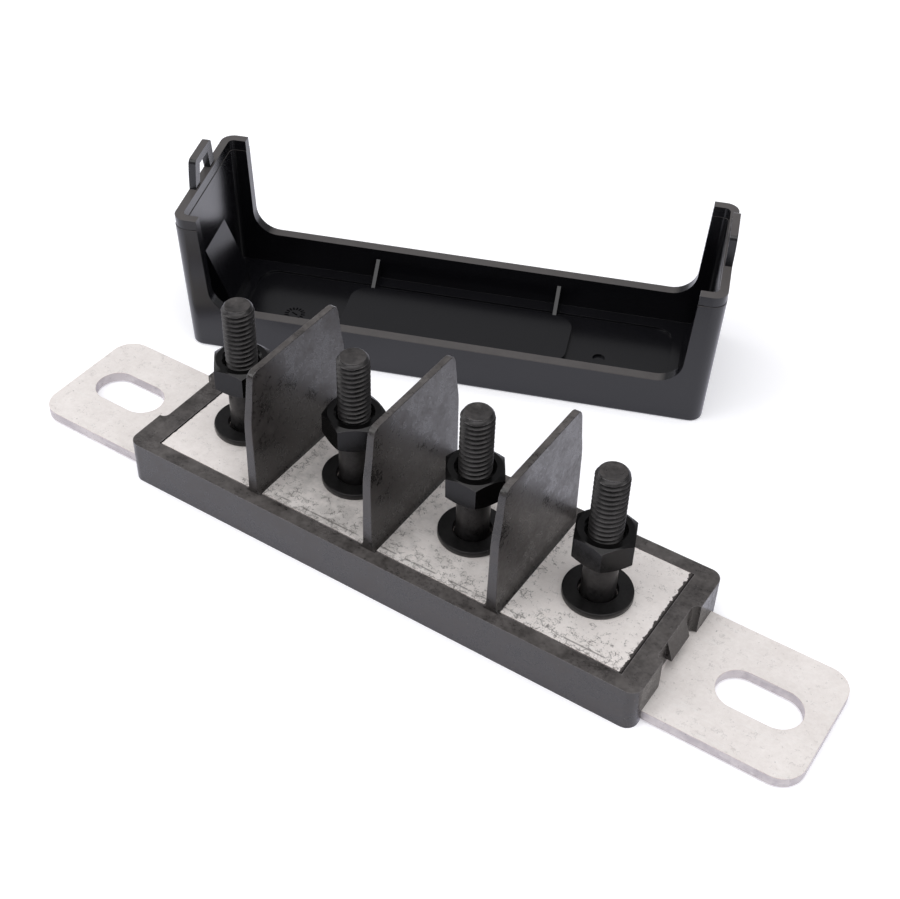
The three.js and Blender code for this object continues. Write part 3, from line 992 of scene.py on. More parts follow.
    def bead(self, sign: int) -> Workpiece:
        """Shapes the proud strip round one cut-out, on the outside of its wall.

        Args:
            sign: Minus one for the near wall and one for the far wall.

        Returns:
            The strip.
        """
        x, y, z = self.beyond
        bottom, top, past_ends = -1, self.depth + 1, -self.bead_slack
        bead = self.cutout(self.bead_width, "bead")
        bead.combine(
            Combine.CUT,
            self.cutout(self.bead_gap, "opening"),
            Workpiece.block("above", (-x, -y, self.band_bottom), self.beyond),
            self.drafted("inner", bottom, top, past_ends, self.bead_root),
        )
        outer = self.drafted("outer", bottom, top, past_ends, -self.bead_proud)
        near, far = sorted((0, -sign * y))
        half = Workpiece.block("half", (-x, near, -self.bead_slack), (x, far, z))
        return bead.combine(Combine.KEEP, outer).combine(Combine.CUT, half)

    def scoop(self) -> tuple[Workpiece, Workpiece]:
        """Shapes the right-hand finger scoop.

        Returns:
            The ridge that it makes inside, and the hollow outside.
        """
        reach, drop, thick = self.ridge_reach, self.ridge_drop, self.ridge_wall
        wall = self.half_length(self.ridge_height) - self.end_wall
        inside = wall - reach
        outline = [
            (inside, self.ridge_foot),
            (self.half_length(0) - self.ridge_burial, self.ridge_foot),
            (wall + self.ridge_burial, self.ridge_height),
            (wall, self.ridge_height),
            (inside, self.ridge_height - drop),
        ]
        half = self.ridge_half_width
        ridge = Workpiece.slab("ridge", outline, Axis.Y, -half, half)
        length, slope = math.hypot(reach, drop), drop / reach
        start_x, start_z = wall + thick * drop / length, self.ridge_height - thick * reach / length
        near, far = inside + thick, self.rim_half_length + OVERRUN
        outline = [
            (near, -OVERRUN),
            (far, -OVERRUN),
            (far, start_z + (far - start_x) * slope),
            (near, start_z - (start_x - near) * slope),
        ]
        half -= thick
        hollow = Workpiece.slab("hollow", outline, Axis.Y, -half, half)
        return ridge, hollow.round_edges(
            self.hollow_radius, self.hollow_faces,
            lambda middle, way: not Axis.Y.runs(middle, way),
        )

    def gusset(self, x: float) -> Workpiece:
        """Shapes the gusset that stiffens the far wall at one place.

        Args:
            x: Its middle along the cover.

        Returns:
            The gusset.
        """
        wall = self.half_width(self.border_thickness) - self.side_wall
        toe = wall - self.gusset_reach
        outline = [
            (toe, self.gusset_foot), (wall + 1, self.gusset_foot), (wall + 1, self.gusset_height),
            (wall, self.gusset_height), (toe, self.panel_thickness + self.gusset_toe),
        ]
        half = self.gusset_half_thickness
        return Workpiece.slab("gusset", outline, Axis.X, x - half, x + half)

    def loop(self) -> Workpiece:
        """Shapes the clip loop that rises from the right-hand end.

        Returns:
            The loop.
        """
        outer, base = self.rim_half_length, self.depth
        inner, crown = outer - self.loop_thickness, base + self.loop_height
        foot = self.loop_half_foot
        outline = closed([(foot, base - 1), (foot, base), (self.loop_half_top, crown)])
        loop = Workpiece.slab("loop", outline, Axis.X, inner, outer)
        loop.round_edges(
            self.loop_radius, self.loop_faces,
            lambda middle, way: Axis.X.runs(middle, way) and middle.z > crown - HAIR,
        )
        outline = closed([(half, base + rise) for half, rise in self.loop_window])
        window = Workpiece.slab("window", outline, Axis.X, inner - OVERRUN, inner + 2 * OVERRUN)
        return loop.combine(Combine.CUT, window)

    def panel(self, shell: Workpiece) -> None:
        """Sinks the roof's panel and raises the plateau of its label field.

        Args:
            shell: The shell that is shaped.
        """
        x, y, z = self.panel_half_length, self.panel_half_width, self.panel_thickness
        step, radius = self.label_step, self.label_radius
        long, wide = self.label_half_length, self.label_half_width
        for name, low, high, corner, how in (
            ("sunk", (-x, -y, z), (x, y, z + self.tool_rise), self.panel_radius, Combine.CUT),
            ("raised", (-long, -wide, z / 2), (long, wide, z + step), radius, Combine.ADD),
            (
                "field", (step - long, step - wide, -OVERRUN), (long - step, wide - step, step),
                radius - step, Combine.CUT,
            ),
        ):
            tool = Workpiece.block(name, low, high)
            shell.combine(how, tool.round_edges(corner, CORNER_FACES, Axis.Z.runs))

    def dial(self) -> Workpiece:
        """Shapes the date dial's marks: a ring of short radial ticks round a slot.

        Returns:
            The tool that engraves them.
        """
        low, high = self.panel_thickness - self.mark_depth, self.panel_thickness + 1
        x, y = self.dial_slot
        marks = Workpiece.block("dial", (-x, -y, low), (x, y, high))
        marks.place(0, 0, 0, self.dial_slot_turn)
        start, half = self.tick_start_share * self.dial_radius, self.tick_half_width
        for number in range(self.dial_ticks):
            tick = Workpiece.block("tick", (start, -half, low), (self.dial_radius, half, high))
            tick.place(0, 0, 0, 360 * number / self.dial_ticks)
            marks.combine(Combine.ADD, tick)
        return marks.place(*self.dial_place)

    def build(self, finish: Material) -> None:
        """Makes, places and dresses the cover.

        Args:
            finish: The cover's plastic.
        """
        cover = self.shell()
        cover.combine(Combine.CUT, self.cutout(0, "cutout"))
        self.panel(cover)
        ridge, hollow = self.scoop()
        for tool, how in ((ridge, Combine.ADD), (hollow, Combine.CUT), (self.loop(), Combine.ADD)):
            other = tool.mirrored("other_end", Axis.X)
            cover.combine(how, tool, other)
        for x in self.gusset_x:
            gusset = self.gusset(x)
            other = gusset.mirrored("other_side", Axis.Y)
            cover.combine(Combine.ADD, gusset, other)
        cover.blunt(self.edge_round, angle=self.sharp_angle)
        self.band(cover)
        cover.combine(Combine.ADD, self.bead(-1), self.bead(1))
        low = (*self.pin_place, self.panel_thickness - self.mark_depth)
        pin = Workpiece.drum("pin", self.pin_radius, low, self.tool_rise)
        cover.combine(Combine.CUT, self.dial(), pin)
        cover.smooth(self.shading).place(self.x, self.y, 0, self.turn)
        cover.dress(finish, Body.COVER.named(), "satin_plastic", "cover")


@dataclass(frozen=True)
class PhotoCamera:
    """The camera, solved from edges and circles of the photograph."""

    azimuth: float = 31.702
    elevation: float = 42.230
    roll: float = 1.9965
    distance: float = 265.575
    target: tuple[float, float, float] = (1.862, 8.406, 16.975)
    lens: float = 59.846
    sensor: float = 36
    nearest: float = 10

    def place(self) -> None:
        """Makes the camera and sets it as the scene's."""
        angles = (self.azimuth, self.elevation, self.roll)
        side, rise, lean = (math.radians(angle) for angle in angles)
        flat = math.cos(rise)
        back = Vector((math.sin(side) * flat, -math.cos(side) * flat, math.sin(rise)))
        level = Vector((0, 0, 1)).cross(back).normalized()
        steep = back.cross(level)
        right = math.cos(lean) * level + math.sin(lean) * steep
        up = math.cos(lean) * steep - math.sin(lean) * level
        pose = Matrix((right, up, back)).transposed().to_4x4()
        pose.translation = (Vector(self.target) + back * self.distance) * MM
        camera = bpy.data.objects.new("camera", bpy.data.cameras.new("camera"))
        camera.matrix_world = pose
        camera.data.lens = self.lens
        camera.data.sensor_width = self.sensor
        camera.data.sensor_fit = "HORIZONTAL"
        camera.data.clip_start = self.nearest * MM
        bpy.context.scene.collection.objects.link(camera)
        bpy.context.scene.camera = camera


class Graph:
    """A node tree with short calls that add nodes and join them."""

    def __init__(self, tree: bpy.types.NodeTree) -> None:
        """Keeps the tree and empties it."""
        self.tree = tree
        tree.nodes.clear()

    def add(self, kind: str, sockets: dict | None = None, **settings: object) -> bpy.types.Node:
        """Adds a node.

        Args:
            kind: The node's type, without its usual start.
            sockets: Values or output sockets for inputs, by name or number.
            settings: Values for the node's own properties.

        Returns:
            The node.
        """
        node = self.tree.nodes.new("ShaderNode" + kind)
        for key, value in settings.items():
            setattr(node, key, value)
        for key, value in (sockets or {}).items():
            if isinstance(value, Socket):
                self.tree.links.new(value, node.inputs[key])
            else:
                node.inputs[key].default_value = value
        return node

    def maths(self, operation: str, *values: object, clamp: bool = False) -> Socket:
        """Returns an operation on numbers or sockets, kept between nought and one if clamped."""
        sockets = dict(enumerate(values))
        return self.add("Math", sockets, operation=operation, use_clamp=clamp).outputs[0]

    def times(self, first: object, *others: object) -> Socket:
        """Multiplies values.

        Args:
            first: The first number or output socket.
            others: The rest of them.

        Returns:
            The product.
        """
        for other in others:
            first = self.maths("MULTIPLY", first, other)
        return first

    def ramp(
        self, value: Socket, low: float, high: float, start: float = 0, end: float = 1
    ) -> Socket:
        """Returns a value that runs from start at the low to end at the high, and stays inside."""
        sockets = {0: value, 1: low, 2: high, 3: start, 4: end}
        return self.add("MapRange", sockets, clamp=True).outputs[0]

    def blend(self, share: object, under: object, over: object) -> Socket:
        """Returns two colours mixed, with as much of the second as the share says."""
        return self.add("Mix", {0: share, 6: under, 7: over}, data_type="RGBA").outputs[2]

    def noise(self, place: Socket, scale: object, detail: float, rough: float = 0.5) -> Socket:
        """Returns a noise read at a place, with finer layers as many and as strong as given."""
        sockets = {"Vector": place, "Scale": scale, "Detail": detail, "Roughness": rough}
        return self.add("TexNoise", sockets).outputs[0]

    def off(self, value: Socket, middle: float) -> Socket:
        """Returns how far a value lies from a middle."""
        return self.maths("ABSOLUTE", self.maths("SUBTRACT", value, middle))

    def axes(self, vector: Socket) -> Sequence[Socket]:
        """Returns a vector's X, Y and Z."""
        return self.add("SeparateXYZ", {0: vector}).outputs


Build = Callable[[Graph, bpy.types.NodeOutputs], Socket]


class Effects:
    """Shader groups that several finishes share. Each is built once."""

    def __init__(self) -> None:
        """Builds every group."""
        self.edges = self.made("edge_wear", "Mask", self.worn_edges, Radius=0.0003, Gain=4)
        self.mottle = self.made("mottle", "Mask", self.patches, Scale=120, Contrast=1)
        self.grain = self.made("grain", "Height", self.even_grain, Scale=4000)
        self.scratches = self.made("scratches", "Mask", self.fine_lines, Scale=300, Amount=0.5)
        self.specks = self.made("specks", "Mask", self.dust, Scale=900, Amount=0.1)

    @staticmethod
    def made(name: str, output: str, build: Build, **numbers: float) -> bpy.types.NodeTree:
        """Makes a group with a vector and named numbers as inputs and one number as its output.

        Args:
            name: The group's name.
            output: The output's name.
            build: Joins the nodes from the inputs to the result.
            numbers: Each number's name and first value.

        Returns:
            The group.
        """
        group = bpy.data.node_groups.new(name, "ShaderNodeTree")
        graph = Graph(group)
        sockets = group.interface
        sockets.new_socket("Vector", in_out="INPUT", socket_type="NodeSocketVector")
        for label, value in numbers.items():
            number = sockets.new_socket(label, in_out="INPUT", socket_type="NodeSocketFloat")
            number.default_value = value
        sockets.new_socket(output, in_out="OUTPUT", socket_type="NodeSocketFloat")
        given = group.nodes.new("NodeGroupInput").outputs
        result = group.nodes.new("NodeGroupOutput").inputs[0]
        group.links.new(build(graph, given), result)
        return group

    @staticmethod
    def worn_edges(graph: Graph, given: bpy.types.NodeOutputs) -> Socket:
        """Masks worn edges: where the surface turns within a radius.

        Args:
            graph: The group's graph.
            given: Its inputs.

        Returns:
            The mask.
        """
        rounded = graph.add("Bevel", {"Radius": given["Radius"]}, samples=6).outputs[0]
        flat = graph.add("NewGeometry").outputs["Normal"]
        dot = graph.add("VectorMath", {0: rounded, 1: flat}, operation="DOT_PRODUCT")
        turn = graph.maths("SUBTRACT", 1, dot.outputs["Value"])
        noise = graph.noise(given["Vector"], scale=900, detail=3)
        patchy = graph.ramp(noise, low=0.35, high=0.6, start=0.35)
        return graph.maths("MULTIPLY", graph.times(turn, given["Gain"]), patchy, clamp=True)

    @staticmethod
    def patches(graph: Graph, given: bpy.types.NodeOutputs) -> Socket:
        """Masks soft uneven patches.

        Args:
            graph: The group's graph.
            given: Its inputs.

        Returns:
            The mask.
        """
        place, scale = given["Vector"], given["Scale"]
        broad = graph.noise(place, scale, detail=4, rough=0.6)
        small = graph.noise(place, graph.times(scale, 5.3), detail=3)
        both = graph.maths("ADD", graph.times(broad, 0.7), graph.times(small, 0.3))
        contrast = graph.times(given["Contrast"], 2.4)
        spread = graph.times(graph.maths("SUBTRACT", both, 0.5), contrast)
        return graph.maths("ADD", spread, 0.5, clamp=True)

    @staticmethod
    def even_grain(graph: Graph, given: bpy.types.NodeOutputs) -> Socket:
        """Shapes a fine even grain, as left by a sparked mould or by plating.

        Args:
            graph: The group's graph.
            given: Its inputs.

        Returns:
            The height.
        """
        place, scale = given["Vector"], given["Scale"]
        noise = graph.noise(place, scale, detail=2)
        sockets = {"Vector": place, "Scale": graph.times(scale, 0.31)}
        cells = graph.add("TexVoronoi", sockets, feature="SMOOTH_F1").outputs[0]
        return graph.maths("ADD", graph.times(noise, 0.6), graph.times(cells, 0.4))

    @staticmethod
    def fine_lines(graph: Graph, given: bpy.types.NodeOutputs) -> Socket:
        """Masks fine scratches, mostly along one direction.

        Args:
            graph: The group's graph.
            given: Its inputs.

        Returns:
            The mask.
        """
        layers = []
        for turn, stretch in ((0.12, 0.05), (-0.5, 0.04), (1.3, 0.06)):
            sockets = {"Vector": given["Vector"], "Rotation": (0, 0, turn)}
            sockets["Scale"] = (stretch, 1, 1)
            place = graph.add("Mapping", sockets).outputs[0]
            sockets = {"Vector": place, "Scale": given["Scale"], "Detail": 2, "Distortion": 0.3}
            lines = graph.add("TexNoise", sockets).outputs[0]
            thin = graph.ramp(graph.off(lines, 0.5), low=0, high=0.012, start=1, end=0)
            sites = graph.noise(place, scale=130, detail=1)
            layers.append(graph.times(thin, graph.ramp(sites, low=0.5, high=0.62)))
        both = graph.maths("MAXIMUM", layers[0], layers[1])
        mask = graph.maths("MAXIMUM", both, layers[2])
        return graph.maths("MULTIPLY", mask, given["Amount"], clamp=True)

    @staticmethod
    def dust(graph: Graph, given: bpy.types.NodeOutputs) -> Socket:
        """Masks scattered specks.

        Args:
            graph: The group's graph.
            given: Its inputs.

        Returns:
            The mask.
        """
        cells = graph.add("TexVoronoi", {"Vector": given["Vector"], "Scale": given["Scale"]})
        chance, spread, _ = graph.add("SeparateColor", {0: cells.outputs["Color"]}).outputs
        size = graph.ramp(spread, low=0, high=1, start=0.06, end=0.24)
        near = graph.maths("LESS_THAN", cells.outputs["Distance"], size)
        return graph.times(near, graph.maths("LESS_THAN", chance, given["Amount"]))


class Coat(Graph):
    """A material's graph, with the place on the object and the colour laid on so far."""

    def __init__(self, material: Material, effects: Effects) -> None:
        """Starts the graph with the place on the object.

        Args:
            material: The material that uses the graph.
            effects: The shared groups.
        """
        super().__init__(material.node_tree)
        self.effects = effects
        self.place = self.add("TexCoord").outputs["Object"]
        self.along, self.across, self.height = self.axes(self.place)
        self.colour: Socket | None = None

    def effect(self, group: bpy.types.NodeTree, **values: object) -> Socket:
        """Returns the output of a shared group, placed with its own values."""
        return self.add("Group", {"Vector": self.place, **values}, node_tree=group).outputs[0]

    def mottle(self, scale: float, contrast: float) -> Socket:
        """Returns the mask of soft uneven patches."""
        return self.effect(self.effects.mottle, Scale=scale, Contrast=contrast)

    def facing(self) -> Socket:
        """Returns how far the surface faces up."""
        return self.axes(self.add("NewGeometry").outputs["Normal"])[2]

    def lay(self, share: Socket, colour: Colour) -> None:
        """Lays a colour over the one that is there, as much as the share says."""
        self.colour = self.blend(share, self.colour, colour)


@dataclass(frozen=True)
class Finish:
    """A surface with uneven colour, worn edges, dust, a painted sheen on upward faces and a fine
    grain. Lengths are metres.
    """

    name: str
    dark: Colour
    light: Colour
    worn: Colour
    roughness: float
    spread: float
    metallic: float = 0
    patch_scale: float = 90
    patch_contrast: float = 1.3
    fleck_scale: float = 1500
    fleck_contrast: float = 1.6
    fleck_share: float = 0.5
    wear_radius: float = 0.0003
    wear_gain: float = 3
    grain_scale: float = 5000
    grain_depth: float = 0.00001
    dust: float = 0.03
    dust_scale: float = 1900
    dust_share: float = 0.35
    dust_colour: Colour = (0.22, 0.21, 0.2, 1)
    # Painted sheen: upward faces above a height are lightened in mottled patches, standing in for
    # the reflection of the bright room.
    top_sheen: float = 0
    top_sheen_from: float = -1
    top_sheen_fade: float = 0.0003
    top_sheen_scale: float = 260
    top_sheen_contrast: float = 1.2
    top_sheen_colour: Colour = (0.19, 0.175, 0.17, 1)
    specular: float = 0.5

    def tones(self, coat: Coat) -> Socket:
        """Lays the uneven colour.

        Args:
            coat: The material's graph.

        Returns:
            The mask that the colour shares with the roughness.
        """
        broad = coat.mottle(self.patch_scale, self.patch_contrast)
        flecks = coat.mottle(self.fleck_scale, self.fleck_contrast)
        rest = coat.times(broad, 1 - self.fleck_share)
        mask = coat.maths("ADD", rest, coat.times(flecks, self.fleck_share))
        coat.colour = coat.blend(mask, self.dark, self.light)
        return mask

    def wear(self, coat: Coat) -> None:
        """Lays the colour of worn edges."""
        edges = coat.effect(coat.effects.edges, Radius=self.wear_radius, Gain=self.wear_gain)
        coat.lay(edges, self.worn)

    def details(self, coat: Coat) -> None:
        """Lays worn edges, dust and a painted sheen that lightens upward faces.

        Args:
            coat: The material's graph.
        """
        if self.wear_gain:
            self.wear(coat)
        if self.dust:
            specks = coat.effect(coat.effects.specks, Scale=self.dust_scale, Amount=self.dust)
            coat.lay(coat.times(specks, self.dust_share), self.dust_colour)
        # Painted sheen: upward faces above the start height are lightened in mottled patches, as if
        # they reflected the room.
        if self.top_sheen:
            film = coat.mottle(self.top_sheen_scale, self.top_sheen_contrast)
            start = self.top_sheen_from
            raised = coat.ramp(coat.height, start, start + self.top_sheen_fade)
            level = coat.ramp(coat.facing(), low=0.9, high=0.99, end=self.top_sheen)
            coat.lay(coat.times(level, coat.times(film, raised)), self.top_sheen_colour)

    def material(self, effects: Effects) -> Material:
        """Builds the material.

        Args:
            effects: The shared groups.

        Returns:
            The material.
        """
        material = bpy.data.materials.new(self.name)
        material.use_nodes = True
        coat = Coat(material, effects)
        mask = self.tones(coat)
        self.details(coat)
        least, most = self.roughness - self.spread / 2, self.roughness + self.spread / 2
        grain = coat.effect(effects.grain, Scale=self.grain_scale)
        bump = coat.add("Bump", {"Height": grain, "Distance": self.grain_depth, "Strength": 1})
        shader = coat.add("BsdfPrincipled", {
            "Base Color": coat.colour,
            "Roughness": coat.ramp(mask, low=0.2, high=0.8, start=least, end=most),
            "Metallic": self.metallic,
            "Specular IOR Level": self.specular,
            "Normal": bump.outputs[0],
        })
        coat.add("OutputMaterial", {"Surface": shader.outputs[0]})
        return material


@dataclass(frozen=True)
class PlatedCopper(Finish):
    """Tin plating with copper showing at its edges, fine scratches, stains between barriers, and
    painted shade in the bays and on upright faces.
    """

    stain: Colour = (0.15, 0.138, 0.13, 1)
    # Colour of the painted shade in the bays between the barriers.
    bay_shade: Colour = (0.58, 0.55, 0.53, 1)
    bright: Colour = (0.9, 0.88, 0.86, 1)
    # Colour of the painted shade on upright faces: the bar's sides and the walls of its slots and
    # holes.
    side_shade: Colour = (0.48, 0.44, 0.455, 1)
    film: Colour = (0.055, 0.049, 0.047, 1)
    bays_start: tuple[float, float] = (-0.0325, -0.0225)
    bays_end: tuple[float, float] = (0.0486, 0.0496)
    # Where the painted shade in the bays fades out along the bar.
    bay_shade_fade: tuple[float, float] = (-0.0065, 0.0285)
    near_stain: tuple[float, float] = (-0.0131, -0.0061)
    feet_end: tuple[float, float] = (0.036, 0.042)
    foot_stain: tuple[float, float] = (0.0015, 0.006)
    edge_line: float = -0.0118
    line_edges: tuple[float, float] = (0.00006, 0.00022)
    first_barrier: float = -0.0256
    half_pitch: float = 0.0125
    cloud_scale: float = 160
    cloud_contrast: float = 2.2
    crack_scale: float = 900
    crack_sway: float = 0.0012
    sway_scale: float = 380
    site_scale: float = 650
    site_contrast: float = 2.6
    grit_scale: float = 6500
    line_share: float = 0.75
    pinhole_scale: float = 1700
    pinhole_share: float = 0.45
    scratch_scale: float = 700
    scratch_share: float = 0.4
    film_scale: float = 750
    film_heights: tuple[float, float] = (0.0084, 0.0086)
    film_ends: tuple[float, float] = (-0.0477, 0.0486)
    film_reach: tuple[float, float] = (0.0003, 0.0007)
    film_least: float = 0.00002
    film_border: tuple[float, float] = (-0.00002, 0.00003)

    def details(self, coat: Coat) -> None:
        """Lays painted shade in the bays and on upright faces, stains, scratches, copper edges and
        the film.

        Args:
            coat: The material's graph.
        """
        starts = coat.ramp(coat.along, *self.bays_start)
        in_bays = coat.times(starts, coat.ramp(coat.along, *self.bays_end, start=1, end=0))
        cloud = coat.mottle(self.cloud_scale, self.cloud_contrast)
        # Painted shade: the bays from the first barrier rightwards are darkened in patches, most of
        # all in the left-hand bays.
        fading = coat.ramp(coat.along, *self.bay_shade_fade, start=1, end=0.2)
        clouded = coat.ramp(cloud, low=0.1, high=0.9, start=0.35)
        coat.lay(coat.times(in_bays, fading, clouded), self.bay_shade)
        # Painted shade: upright faces, such as the bar's sides and its slot and hole walls, are
        # darkened in patches.
        upright = coat.ramp(coat.maths("ABSOLUTE", coat.facing()), 0.2, 0.75, start=1, end=0)
        uneven = coat.ramp(cloud, low=0.2, high=0.8, start=0.6, end=0.9)
        coat.lay(coat.times(upright, uneven), self.side_shade)
        coat.lay(self.corroded(coat, in_bays), self.stain)
        thin = coat.ramp(coat.off(coat.across, self.edge_line), *self.line_edges, start=1, end=0)
        broken = coat.times(thin, coat.ramp(cloud, low=0.35, high=0.6))
        coat.lay(coat.times(broken, in_bays, self.line_share), self.stain)
        pinholes = coat.effect(coat.effects.specks, Scale=self.pinhole_scale, Amount=self.dust)
        coat.lay(coat.times(pinholes, self.pinhole_share), self.stain)
        scale, amount = self.scratch_scale, self.scratch_share
        coat.lay(coat.effect(coat.effects.scratches, Scale=scale, Amount=amount), self.bright)
        self.wear(coat)
        coat.lay(self.crept(coat), self.film)

    def corroded(self, coat: Coat, in_bays: Socket) -> Socket:
        """Masks the cracks and pits that gather along the near edge and the barriers' feet.

        Args:
            coat: The material's graph.
            in_bays: The mask of the bays from the first barrier to the right-hand window end.

        Returns:
            The mask.
        """
        near = coat.ramp(coat.across, *self.near_stain, start=1, end=0.1)
        along = coat.maths("SUBTRACT", coat.along, self.first_barrier)
        apart = coat.maths("PINGPONG", along, self.half_pitch)
        beside = coat.ramp(apart, *self.foot_stain, start=0.75, end=0)
        foot = coat.times(beside, coat.ramp(coat.along, *self.feet_end, start=1, end=0))
        amount = coat.times(in_bays, coat.maths("MAXIMUM", near, foot))
        sockets = {"Vector": coat.place, "Scale": self.sway_scale, "Detail": 3, "Roughness": 0.7}
        sway = coat.add("TexNoise", sockets).outputs["Color"]
        bent = coat.add("VectorMath", {0: sway, "Scale": self.crack_sway}, operation="SCALE")
        moved = coat.add("VectorMath", {0: coat.place, 1: bent.outputs[0]}, operation="ADD")
        sockets = {"Vector": moved.outputs[0], "Scale": self.crack_scale}
        cells = coat.add("TexVoronoi", sockets, feature="DISTANCE_TO_EDGE")
        cracks = coat.ramp(cells.outputs["Distance"], low=0, high=0.09, start=1, end=0)
        grit = coat.noise(coat.place, self.grit_scale, detail=3, rough=0.75)
        pits = coat.ramp(grit, low=0.5, high=0.58)
        marks = coat.maths("MAXIMUM", coat.times(cracks, 0.95), coat.times(pits, 0.6))
        limit = coat.ramp(amount, low=0, high=1, start=0.92, end=0.2)
        past = coat.maths("SUBTRACT", coat.mottle(self.site_scale, self.site_contrast), limit)
        return coat.times(marks, coat.ramp(past, low=0, high=0.3))

    def crept(self, coat: Coat) -> Socket:
        """Masks the ragged film of moulding plastic over the bar at both ends of the windows.

        Args:
            coat: The material's graph.

        Returns:
            The mask.
        """
        line = coat.add("CombineXYZ", {"Y": coat.across}).outputs[0]
        ragged = coat.noise(line, self.film_scale, detail=5, rough=0.65)
        films = []
        for sign, end, reach in zip((-1, 1), self.film_ends, self.film_reach):
            creep = coat.ramp(ragged, low=0.35, high=0.7, start=self.film_least, end=reach)
            past = coat.times(coat.maths("SUBTRACT", coat.along, end), sign)
            edge = coat.maths("ADD", past, creep)
            films.append(coat.ramp(edge, *self.film_border))
        raised = coat.ramp(coat.height, *self.film_heights)
        return coat.times(coat.maths("MAXIMUM", *films), raised)


@dataclass(frozen=True)
class SoftBox:
    """A soft rectangular lamp that points at the busbar. Lengths are metres, power is watts."""

    name: str
    place: tuple[float, float, float]
    width: float
    height: float
    power: float
    aim: tuple[float, float, float] = (0, 0.03, 0.01)

    def hang(self) -> None:
        """Makes the lamp."""
        data = bpy.data.lights.new(self.name, "AREA")
        data.shape = "RECTANGLE"
        data.size, data.size_y = self.width, self.height
        data.energy = self.power
        lamp = bpy.data.objects.new(self.name, data)
        lamp.location = self.place
        way = Vector(self.aim) - Vector(self.place)
        lamp.rotation_euler = way.to_track_quat("-Z", "Y").to_euler()
        bpy.context.scene.collection.objects.link(lamp)


@dataclass(frozen=True)
class Studio:
    """Dim room, soft lamps and a plain pale floor that fades to white with distance.

    The floor's half width and thickness are millimetres, and its fade starts and ends in metres.
    """

    sky: float = 0.38
    room: Colour = (0.97, 0.97, 1, 1)
    white: Colour = (1, 1, 1, 1)
    floor_colour: Colour = (0.85, 0.85, 0.87, 1)
    floor_size: tuple[float, float] = (1500, 4)
    floor_roughness: float = 0.9
    floor_specular: float = 0.2
    floor_glow: float = 0.32
    fade_range: tuple[float, float] = (0.25, 0.9)
    mirrored_glow: float = 0.5
    mirrored_hue: Colour = (0.8, 0.79, 1, 1)
    lamps: tuple[SoftBox, ...] = (
        SoftBox("overhead", (0.05, -0.12, 0.75), 0.9, 0.7, 4.2),
        SoftBox("front_left", (-0.45, -0.55, 0.5), 0.35, 0.35, 1.3),
        SoftBox("left_side", (-0.7, 0.05, 0.35), 0.35, 0.45, 0.9),
        SoftBox("right_side", (0.75, 0.1, 0.4), 0.35, 0.45, 0.9),
    )

    def light(self) -> None:
        """Sets the world and hangs the lamps."""
        world = bpy.data.worlds.new("room")
        bpy.context.scene.world = world
        world.use_nodes = True
        graph = Graph(world.node_tree)
        room = graph.add("Background", {"Color": self.room, "Strength": self.sky})
        white = graph.add("Background", {"Color": self.white, "Strength": 1})
        seen = graph.add("LightPath").outputs["Is Camera Ray"]
        both = graph.add("MixShader", {0: seen, 1: room.outputs[0], 2: white.outputs[0]})
        graph.add("OutputWorld", {"Surface": both.outputs[0]})
        for lamp in self.lamps:
            lamp.hang()

    def floor(self) -> None:
        """Makes the floor, which shows white to the camera and keeps the shadows."""
        half, thick = self.floor_size
        plane = Workpiece.block("floor", (-half, -half, -thick), (half, half, 0))
        material = bpy.data.materials.new("pale_floor")
        material.use_nodes = True
        graph = Graph(material.node_tree)
        path = graph.add("LightPath").outputs
        camera, glossy = path["Is Camera Ray"], path["Is Glossy Ray"]
        place = graph.add("TexCoord").outputs["Object"]
        away = graph.add("VectorMath", {0: place}, operation="LENGTH").outputs["Value"]
        fading = graph.ramp(away, *self.fade_range, start=self.floor_glow, end=1)
        seen, mirrored = graph.times(camera, fading), graph.times(glossy, self.mirrored_glow)
        shader = graph.add("BsdfPrincipled", {
            "Base Color": self.floor_colour,
            "Roughness": self.floor_roughness,
            "Specular IOR Level": self.floor_specular,
            "Emission Color": graph.blend(glossy, self.room, self.mirrored_hue),
            "Emission Strength": graph.maths("ADD", seen, mirrored),
        })
        graph.add("OutputMaterial", {"Surface": shader.outputs[0]})
        plane.shape.data.materials.append(material)


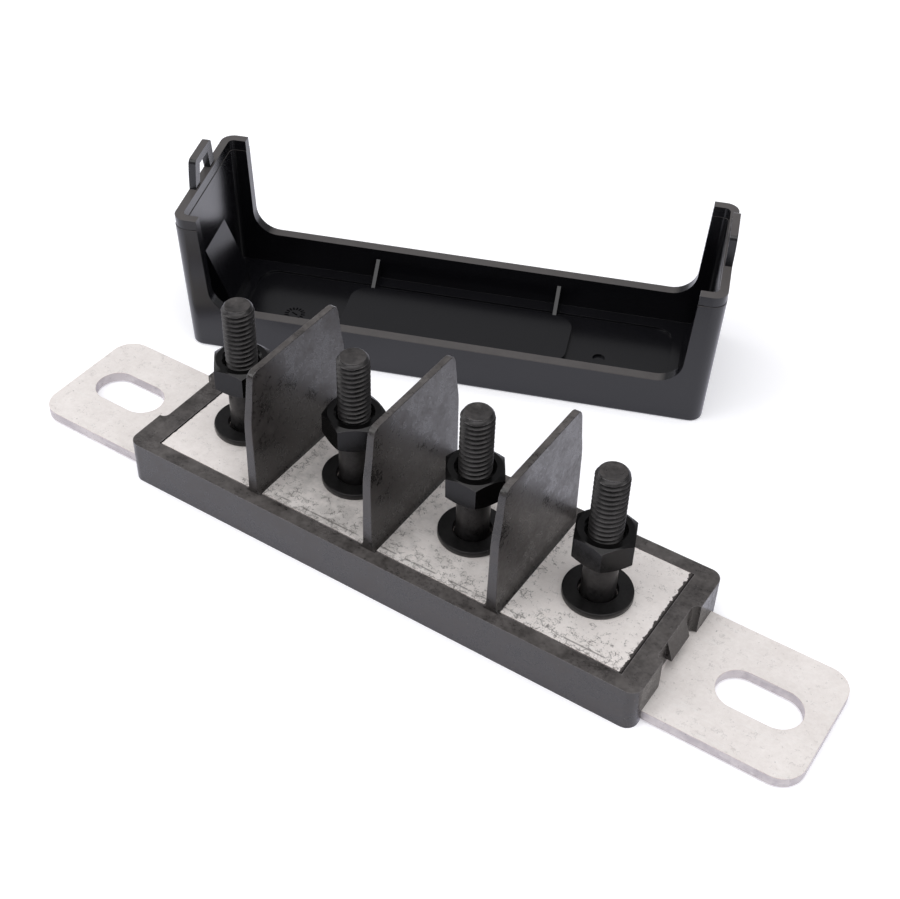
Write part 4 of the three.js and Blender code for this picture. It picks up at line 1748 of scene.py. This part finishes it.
@dataclass(frozen=True)
class Finishes:
    """The part's finishes, one for each material slot."""

    # The moulding's painted sheen lightens its upward faces in mottled patches.
    moulding: Finish = Finish(
        "black_moulding",
        dark=(0.005, 0.0046, 0.0048, 1), light=(0.05, 0.043, 0.04, 1),
        worn=(0.15, 0.142, 0.145, 1),
        roughness=0.35, spread=0.3, patch_scale=200, fleck_scale=1800, fleck_share=0.4,
        grain_depth=0.000008, dust=0.05, top_sheen=0.5,
    )
    # The cover's painted sheen lightens its upward faces above 8.8 mm, the rims, sills and loop
    # tops, standing in for their reflection of the room.
    plastic: Finish = Finish(
        "satin_plastic",
        dark=(0.003, 0.003, 0.004, 1), light=(0.0048, 0.0047, 0.0062, 1),
        worn=(0.02, 0.02, 0.024, 1),
        roughness=0.23, spread=0.04, wear_gain=0, grain_scale=3000, grain_depth=0.000002, dust=0,
        top_sheen=0.8, top_sheen_from=0.0088, top_sheen_contrast=0.1, specular=0.46,
    )
    tin: Finish = PlatedCopper(
        "tinned_copper",
        dark=(0.81, 0.755, 0.725, 1), light=(0.93, 0.885, 0.86, 1), worn=(0.55, 0.39, 0.34, 1),
        roughness=0.5, spread=0.14, metallic=0.28, wear_radius=0.0002, grain_scale=3500,
        grain_depth=0.000006, dust=0.06,
    )
    # The studs' painted sheen lightens their upward ends, standing in for the reflection of the
    # overhead light.
    stud: Finish = Finish(
        "black_oxide_stud",
        dark=(0.01, 0.0095, 0.01, 1), light=(0.045, 0.042, 0.042, 1), worn=(0.2, 0.185, 0.185, 1),
        roughness=0.34, spread=0.14, metallic=0.6, fleck_scale=1100, wear_radius=0.0002,
        wear_gain=2.4, grain_depth=0.000006, dust=0.01, top_sheen=0.55,
    )
    washer: Finish = Finish(
        "black_oxide_washer",
        dark=(0.01, 0.0095, 0.01, 1), light=(0.022, 0.021, 0.021, 1), worn=(0.06, 0.056, 0.056, 1),
        roughness=0.36, spread=0.12, metallic=0.6, wear_radius=0.00015, wear_gain=1,
        grain_depth=0.000005, dust=0.01,
    )
    nut: Finish = Finish(
        "black_oxide_nut",
        dark=(0.007, 0.0066, 0.007, 1), light=(0.016, 0.0155, 0.0155, 1),
        worn=(0.12, 0.11, 0.115, 1),
        roughness=0.2, spread=0.1, metallic=0.7, wear_radius=0.0002, wear_gain=1.4,
        grain_depth=0.000003, dust=0.01,
    )


def main() -> None:
    """Builds the camera, the light and every piece."""
    logging.basicConfig(level=logging.INFO, format="%(name)s %(message)s")
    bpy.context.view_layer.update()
    bpy.context.scene.view_settings.view_transform = "Standard"
    PhotoCamera().place()
    studio = Studio()
    studio.light()
    studio.floor()
    effects = Effects()
    finishes = Finishes()
    BaseMoulding().build(finishes.moulding.material(effects))
    Bar().build(finishes.tin.material(effects))
    hardware = {"stud": finishes.stud, "washer": finishes.washer, "nut": finishes.nut}
    StudSet().build({kind: finish.material(effects) for kind, finish in hardware.items()})
    Cover().build(finishes.plastic.material(effects))


if __name__ == "__main__":
    main()
